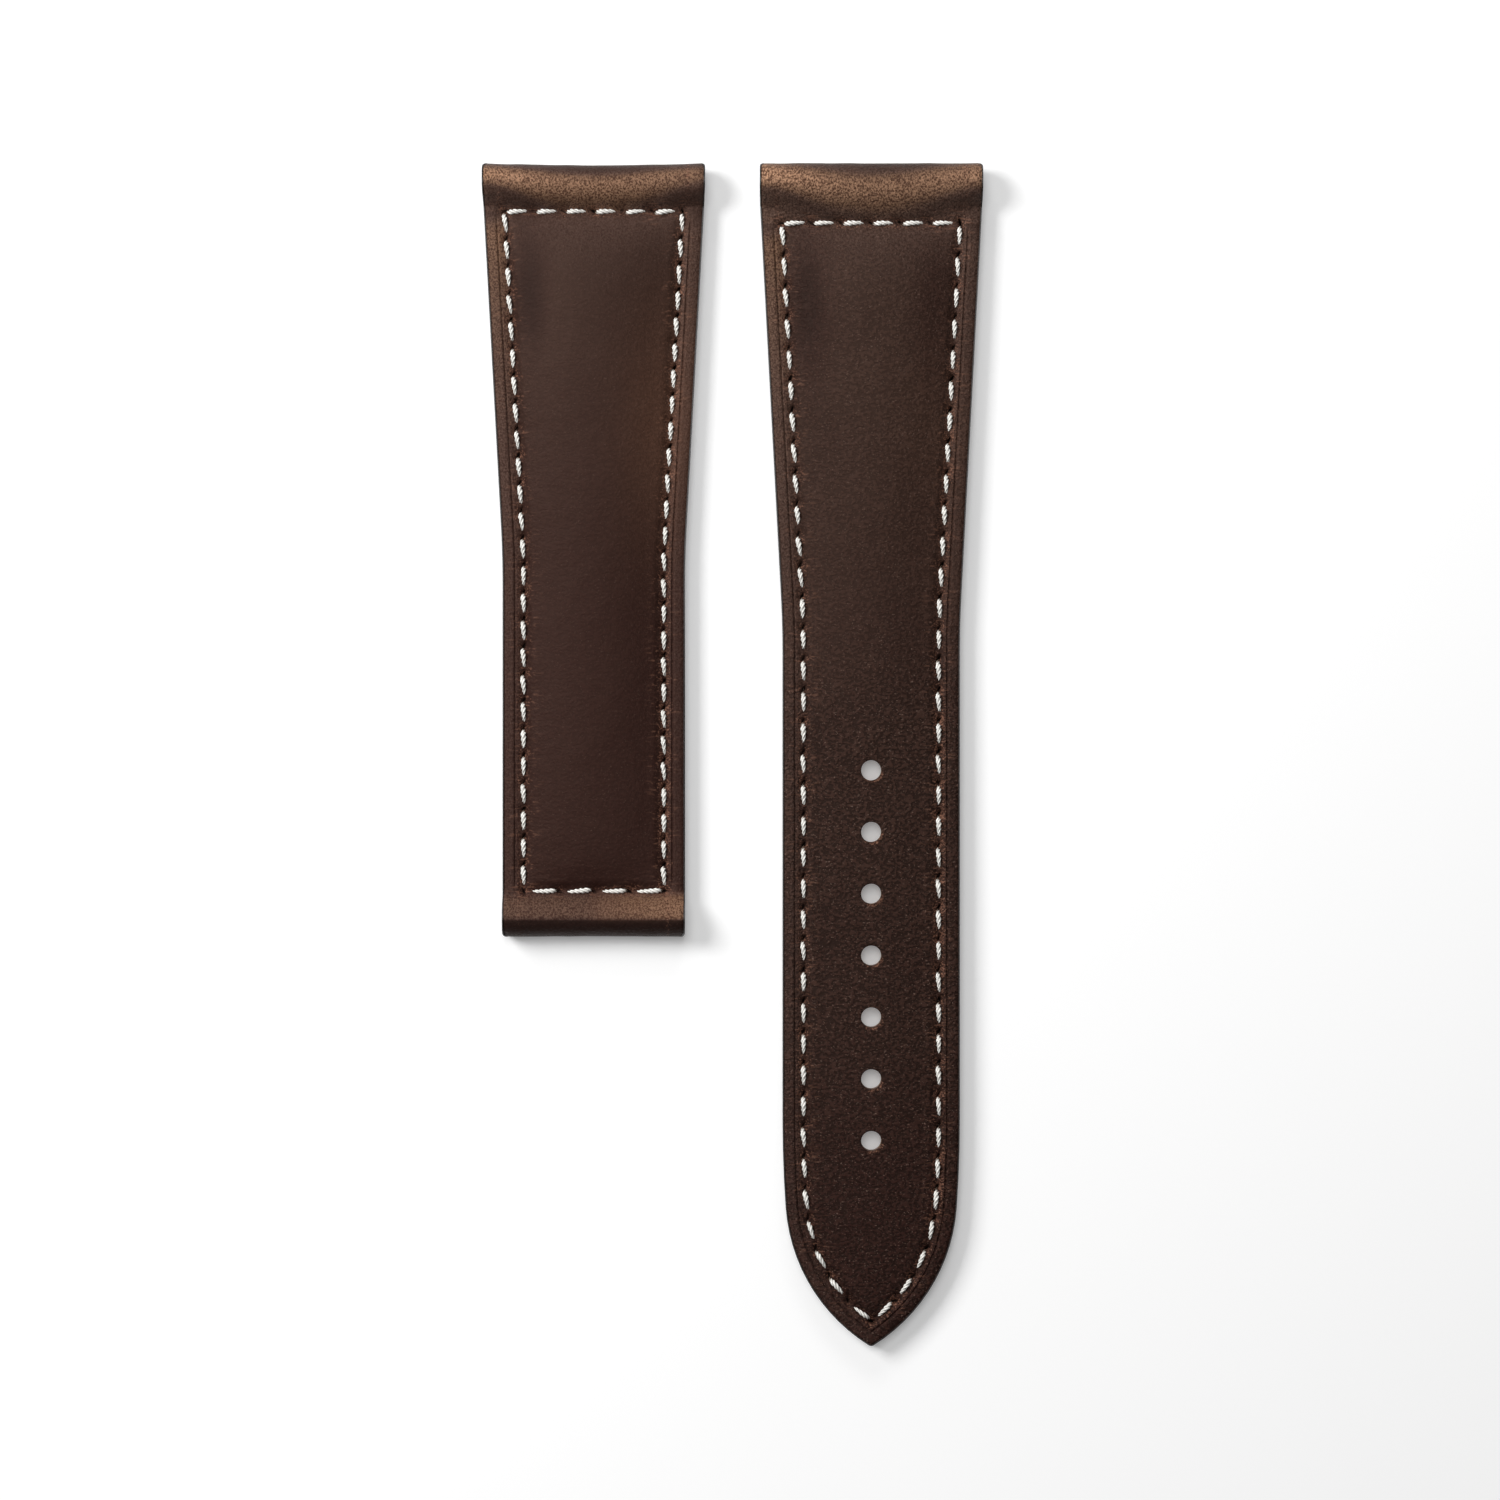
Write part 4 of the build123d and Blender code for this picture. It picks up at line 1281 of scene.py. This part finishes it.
# %% [markdown]
# ## Calf leather
# The top is full-grain calf, drum dyed dark brown, waxed and pressed smooth. To the eye it is nearly plain, with
# slow cloudy patches and a faint grain. Over the folds it is stretched, so small pebbles open up, and a painted
# highlight on them stands in for the light the folds catch; the margins get a painted sheen. Shade is painted
# into the slits, the wrinkles, soft patches and towards the free end. Beside the seam and the needle holes the
# dark finish has rubbed through to the redder leather below.

# %% Make the calf leather
MM_SCALE = 1 / MM
# The deepest brown is painted shade and the warm brown partly painted light; the margin pair is painted sheen,
# the pebble pair the folds' painted highlight, the near-black and wrinkle grey painted shade; the rubbed pair is
# real wear
CALF_PAINTED_SHADE, CALF_DARK, CALF_MIDDLE, CALF_WARM_LIT = "#2e1b17", "#35251f", "#3d2c25", "#573c2f"
MARGIN_SHEEN = ("#5a4039", "#c8a496")
PEBBLE_HIGHLIGHT = ("#644534", "#d8a885")
RUBBED = ("#3d251e", "#8e6552")
GLINT, SLIT_SHADE_BLACK, WRINKLE_SHADE_GREY, SHEEN_TINT = "#92786c", "#0b0706", "#7c7c7c", "#e6c2b2"
# Each pattern's stretch, size in millimetres, detail, roughness, distortion and the range of it that shows
CALF_PATTERNS = {
    "pebbles": ((1.3, 1.0, 1.0), 0.2, 2.0, 0.55, 0.2, 0.36, 0.64),
    "specks": ((0.8, 1.1, 1.0), 0.17, 2.0, 0.6, 0.0, 0.36, 0.64),
    "clouds": ((1.0, 1.0, 1.0), 11.0, 3.0, 0.5, 0.0, 0.3, 0.7),
    "hairlines": ((0.16, 1.0, 1.0), 0.24, 2.0, 0.5, 0.0, 0.56, 0.7),
    "wrinkles": ((0.8, 1.1, 1.0), 0.3, 1.5, 0.5, 0.4, 0.42, 0.58),
}


def finish_material(material, tree, height, relief, inputs):
    """Ends a recipe with a relief in millimetres, the shader and the output."""
    bumped = add_node(tree, "ShaderNodeBump", {"Height": height, "Strength": 1.0, "Distance": relief * MM})
    shader = add_node(tree, "ShaderNodeBsdfPrincipled", {"Normal": bumped, **inputs})
    add_node(tree, "ShaderNodeOutputMaterial", {"Surface": shader})
    return material


def make_calf():
    """Dyed calf: clouds, rubbed edges, and painted light and shade: highlights and sheen on folds and margins,
    shade in slits and wrinkles.
    """
    material, tree, place = new_material("calf_full_grain_dark_brown")
    measure, raw, shown = {}, {}, {}
    for name in WEAR_AND_LIGHT_NAMES:
        measure[name] = add_node(tree, "ShaderNodeAttribute", attribute_name=name).outputs["Fac"]
    for name, (stretch, size, detail, rough, warp, low, high) in CALF_PATTERNS.items():
        stretched = add_node(tree, "ShaderNodeMapping", {"Vector": place, "Scale": stretch})
        inputs = {"Vector": stretched, "Scale": MM_SCALE / size, "Detail": detail, "Roughness": rough,
                  "Distortion": warp}
        raw[name] = add_node(tree, "ShaderNodeTexNoise", inputs)
        shown[name] = add_node(tree, "ShaderNodeMapRange", {0: raw[name], 1: low, 2: high}, **SMOOTH)

    warm_and_lit = add_node(tree, "ShaderNodeMath", {0: measure["warm_and_lit"], 1: 0.8}, **TIMES)
    bright = add_node(tree, "ShaderNodeMapRange", {0: raw["specks"], 1: 0.6, 2: 0.74, 4: 0.6}, **SMOOTH)
    glints = add_node(tree, "ShaderNodeMath", {0: bright, 1: measure["creased"]}, **TIMES)
    folded = add_node(tree, "ShaderNodeMapRange", {0: measure["grain"], 1: 0.02, 2: 0.34}, **SMOOTH)
    opened_and_lit = add_node(tree, "ShaderNodeMath", {0: measure["grain"], 1: 0.76}, **TIMES)
    pulled = add_node(tree, "ShaderNodeMath", {0: shown["hairlines"], 1: measure["pulled"]}, **TIMES)
    lines = add_node(tree, "ShaderNodeMath", {0: pulled, 1: 0.6}, **TIMES)
    speckled = {0: shown["specks"], 1: 0.8, 2: measure["worn_and_rim_highlight"]}
    speckled = add_node(tree, "ShaderNodeMath", speckled, **TIMES_PLUS)
    rub = add_node(tree, "ShaderNodeMapRange", {0: speckled, 1: 0.8, 2: 1.3, 4: 0.8}, **SMOOTH)
    # Painted shade in the needle slits, the crown's patches and under the clasp end's nose
    cut = add_node(tree, "ShaderNodeMapRange", {0: measure["slit"], 1: 0.15, 2: 0.7}, **SMOOTH)
    # The margin pair is painted sheen; the pebble pair is the painted highlight over the folds' opened pebbles
    margin, pebbled, rubbed = [
        add_node(tree, "ShaderNodeMix", {0: shown["pebbles"], 6: low, 7: high}, **BLEND)
        for low, high in (MARGIN_SHEEN, PEBBLE_HIGHLIGHT, RUBBED)
    ]
    pale_highlight_and_sheen = add_node(tree, "ShaderNodeMix", {0: folded, 6: margin, 7: pebbled}, **BLEND)
    # Painted shade in the crown's wrinkles, over their bump
    crease_shade = {0: shown["wrinkles"], 6: WRINKLE_SHADE_GREY, 7: "#ffffff"}
    crease_shade = add_node(tree, "ShaderNodeMix", crease_shade, **BLEND)
    colour = add_node(tree, "ShaderNodeMix", {0: shown["clouds"], 6: CALF_DARK, 7: CALF_MIDDLE}, **BLEND)
    # Layers: painted shade towards the free end, the warm and partly painted light flank, painted shade in the
    # wrinkles, glints, painted highlight and sheen, pulled lines, wear with the holes' painted rim highlight,
    # painted shade in the slits
    for share, coat, blend in (
        (measure["painted_shade"], CALF_PAINTED_SHADE, "MIX"), (warm_and_lit, CALF_WARM_LIT, "MIX"),
        (measure["creased"], crease_shade, "MULTIPLY"), (glints, GLINT, "MIX"), (opened_and_lit, pale_highlight_and_sheen, "MIX"),
        (lines, RUBBED[1], "MIX"), (rub, rubbed, "MIX"), (cut, SLIT_SHADE_BLACK, "MIX"),
    ):
        colour = add_node(tree, "ShaderNodeMix", {0: share, 6: colour, 7: coat}, blend_type=blend, **BLEND)

    strength = add_node(tree, "ShaderNodeMath", {0: measure["grain"], 1: measure["worn_and_rim_highlight"]}, **PLUS)
    strength = add_node(tree, "ShaderNodeMapRange", {0: strength, 1: 0.0, 2: 1.0, 3: 0.27, 4: 0.6})
    relief = add_node(tree, "ShaderNodeMath", {0: raw["specks"], 1: 0.25}, **TIMES)
    relief = add_node(tree, "ShaderNodeMath", {0: shown["pebbles"], 1: strength, 2: relief}, **TIMES_PLUS)
    depth = add_node(tree, "ShaderNodeMath", {0: measure["creased"], 1: 2.4}, **TIMES)
    relief = add_node(tree, "ShaderNodeMath", {0: shown["wrinkles"], 1: depth, 2: relief}, **TIMES_PLUS)
    relief = add_node(tree, "ShaderNodeMath", {0: pulled, 1: 0.5, 2: relief}, **TIMES_PLUS)
    rough = {0: raw["specks"], 1: 0.3, 2: 0.75, 3: 0.46, 4: 0.62}
    rough = add_node(tree, "ShaderNodeMapRange", rough, **SMOOTH)
    return finish_material(material, tree, relief, 0.035, {
        "Base Color": colour, "Roughness": rough, "Specular IOR Level": 0.22, "Specular Tint": SHEEN_TINT})


calf = make_calf()
print("calf pebbles about", CALF_PATTERNS["pebbles"][1], "mm apart")

# %% [markdown]
# ## The other finishes
# Cut leather shows its fibres, redder than the dyed face. The lining is soft undyed-looking calf, matt and paler.
# The thread is waxed linen-white polyester, with painted shade where it dives into a slit and between its
# strands.
# The edge paint is a dark, slightly glossy acrylic. The padding is pressed leather fibre, and the tape is
# plain-woven nylon.

# %% Make the other finishes
TAPE_PITCH = 0.3
# A wave texture of scale 1 repeats every tenth of pi
WAVE_REPEAT = math.pi / 10


def make_finish(name, dark, light, size, relief, rough, sheen=0.0):
    """A finish mottled between two colours, with a relief in millimetres at the same scale."""
    material, tree, place = new_material(name)
    broad = {"Vector": place, "Scale": MM_SCALE / (size * 4), "Detail": 3.0, "Roughness": 0.5}
    broad = add_node(tree, "ShaderNodeTexNoise", broad)
    fine = {"Vector": place, "Scale": MM_SCALE / size, "Detail": 4.0, "Roughness": 0.6}
    fine = add_node(tree, "ShaderNodeTexNoise", fine)
    mixed = add_node(tree, "ShaderNodeMath", {0: broad, 1: 0.4}, **TIMES)
    mixed = add_node(tree, "ShaderNodeMath", {0: fine, 1: 0.6, 2: mixed}, **TIMES_PLUS)
    share = add_node(tree, "ShaderNodeMapRange", {0: mixed, 1: 0.35, 2: 0.65}, **SMOOTH)
    colour = add_node(tree, "ShaderNodeMix", {0: share, 6: dark, 7: light}, **BLEND)
    inputs = {"Base Color": colour, "Roughness": rough, "Sheen Weight": sheen}
    return finish_material(material, tree, fine, relief, inputs)


def make_thread_finish():
    """Waxed off-white thread, with painted shade where it dives into the leather and between its strands."""
    material, tree, place = new_material("thread_waxed_white_polyester")
    height = add_node(tree, "ShaderNodeSeparateXYZ", {0: place}).outputs["Z"]
    depth = add_node(tree, "ShaderNodeMath", {0: height, 1: LOCK_LEVEL * MM}, operation="SUBTRACT")
    depth = add_node(tree, "ShaderNodeMath", {0: depth}, operation="ABSOLUTE")
    # Painted shade where the thread dives into the leather
    out_of_slit_shade = add_node(tree, "ShaderNodeMapRange", {0: depth, 1: 0.55 * MM, 2: 0.95 * MM}, **SMOOTH)
    fibres = {"Vector": place, "Scale": MM_SCALE / 0.12, "Detail": 3.0, "Roughness": 0.6}
    fibres = add_node(tree, "ShaderNodeTexNoise", fibres)
    strand = add_node(tree, "ShaderNodeAttribute", attribute_name="strand").outputs["Fac"]
    frayed = add_node(tree, "ShaderNodeMapRange", {0: fibres, 1: 0.45, 2: 0.75, 4: 0.18}, **SMOOTH)
    # Painted shade in the grooves between the strands
    groove = add_node(tree, "ShaderNodeMapRange", {0: strand, 1: -0.2, 2: -1.0, 4: 0.6}, **SMOOTH)
    colour = add_node(tree, "ShaderNodeMix", {0: out_of_slit_shade, 6: "#6b5a4c", 7: "#faf8f2"}, **BLEND)
    colour = add_node(tree, "ShaderNodeMix", {0: frayed, 6: colour, 7: "#b9b0a0"}, **BLEND)
    colour = add_node(tree, "ShaderNodeMix", {0: groove, 6: colour, 7: "#5c5048"}, **BLEND)
    return finish_material(material, tree, fibres, 0.02, {"Base Color": colour, "Roughness": 0.55})


def make_tape_finish():
    """Plain-woven nylon tape."""
    material, tree, place = new_material("tape_woven_nylon")
    inputs = {"Vector": place, "Scale": MM_SCALE * WAVE_REPEAT / TAPE_PITCH}
    warp, weft = [
        add_node(tree, "ShaderNodeTexWave", inputs, bands_direction=axis).outputs["Fac"]
        for axis in ("X", "Y")
    ]
    weave = add_node(tree, "ShaderNodeMath", {0: warp, 1: weft}, operation="MAXIMUM")
    colour = add_node(tree, "ShaderNodeMix", {0: weave, 6: "#8f8676", 7: "#cfc6b4"}, **BLEND)
    return finish_material(material, tree, weave, 0.06, {"Base Color": colour, "Roughness": 0.7})


cut_leather = make_finish("calf_cut_fibres_red_brown", "#2f1d16", "#5c3828", 0.22, 0.05, 0.8)
lining_leather = make_finish("lining_calf_soft_tan", "#8a5f40", "#a87a55", 0.5, 0.03, 0.75, sheen=0.15)
padding_fibre = make_finish("padding_pressed_leather_fibre", "#6f543f", "#9b7d60", 0.35, 0.06, 0.9)
edge_paint = make_finish("edge_paint_dark_acrylic", "#130f0e", "#231a17", 0.9, 0.02, 0.38)
thread_white = make_thread_finish()
nylon_tape = make_tape_finish()
print("finishes:", ", ".join(sorted(material.name for material in bpy.data.materials)))

# %% [markdown]
# ## Putting the strap together
# Every piece rides on its half's body and takes the place of one node of the frame, whose mesh is hidden.


def register(piece, half, node):
    """Ties a piece to its half's body and hides the node that it replaces."""
    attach(piece, half.body)
    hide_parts(f"{half.name}_{node}")


for half in halves:
    leather = make_top_leather(half, calf, cut_leather)
    register(leather, half, "top_leather")
    padding = make_padding(half, padding_fibre)
    register(padding, half, "padding")
    register(make_lining(half, lining_leather), half, "lining")
    for node, heights in (("needle_thread", NEEDLE_HEIGHTS), ("bobbin_thread", BOBBIN_HEIGHTS)):
        register(make_thread(half, f"{half.name}_{node}_twist", heights, thread_white), half, node)
    coat_name, weave_name = f"{half.name}_edge_paint_coat", f"{half.name}_tape_weave"
    coat = softened(half, "edge_paint", coat_name, edge_paint, PAINT_REACH, PAINT_LONGEST)
    register(coat, half, "edge_paint")
    weave = softened(half, "tape", weave_name, nylon_tape, TAPE_REACH, TAPE_LONGEST, TAPE_UNEVENNESS)
    register(weave, half, "tape")

# %% Print the sizes
dressed_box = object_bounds()
boxes = {"cad": [list(corner) for corner in cad_box], "visual": [list(corner) for corner in dressed_box]}
for name, box in boxes.items():
    print(name, "box", [round((high - low) / MM, 3) for low, high in zip(*box)], "mm")
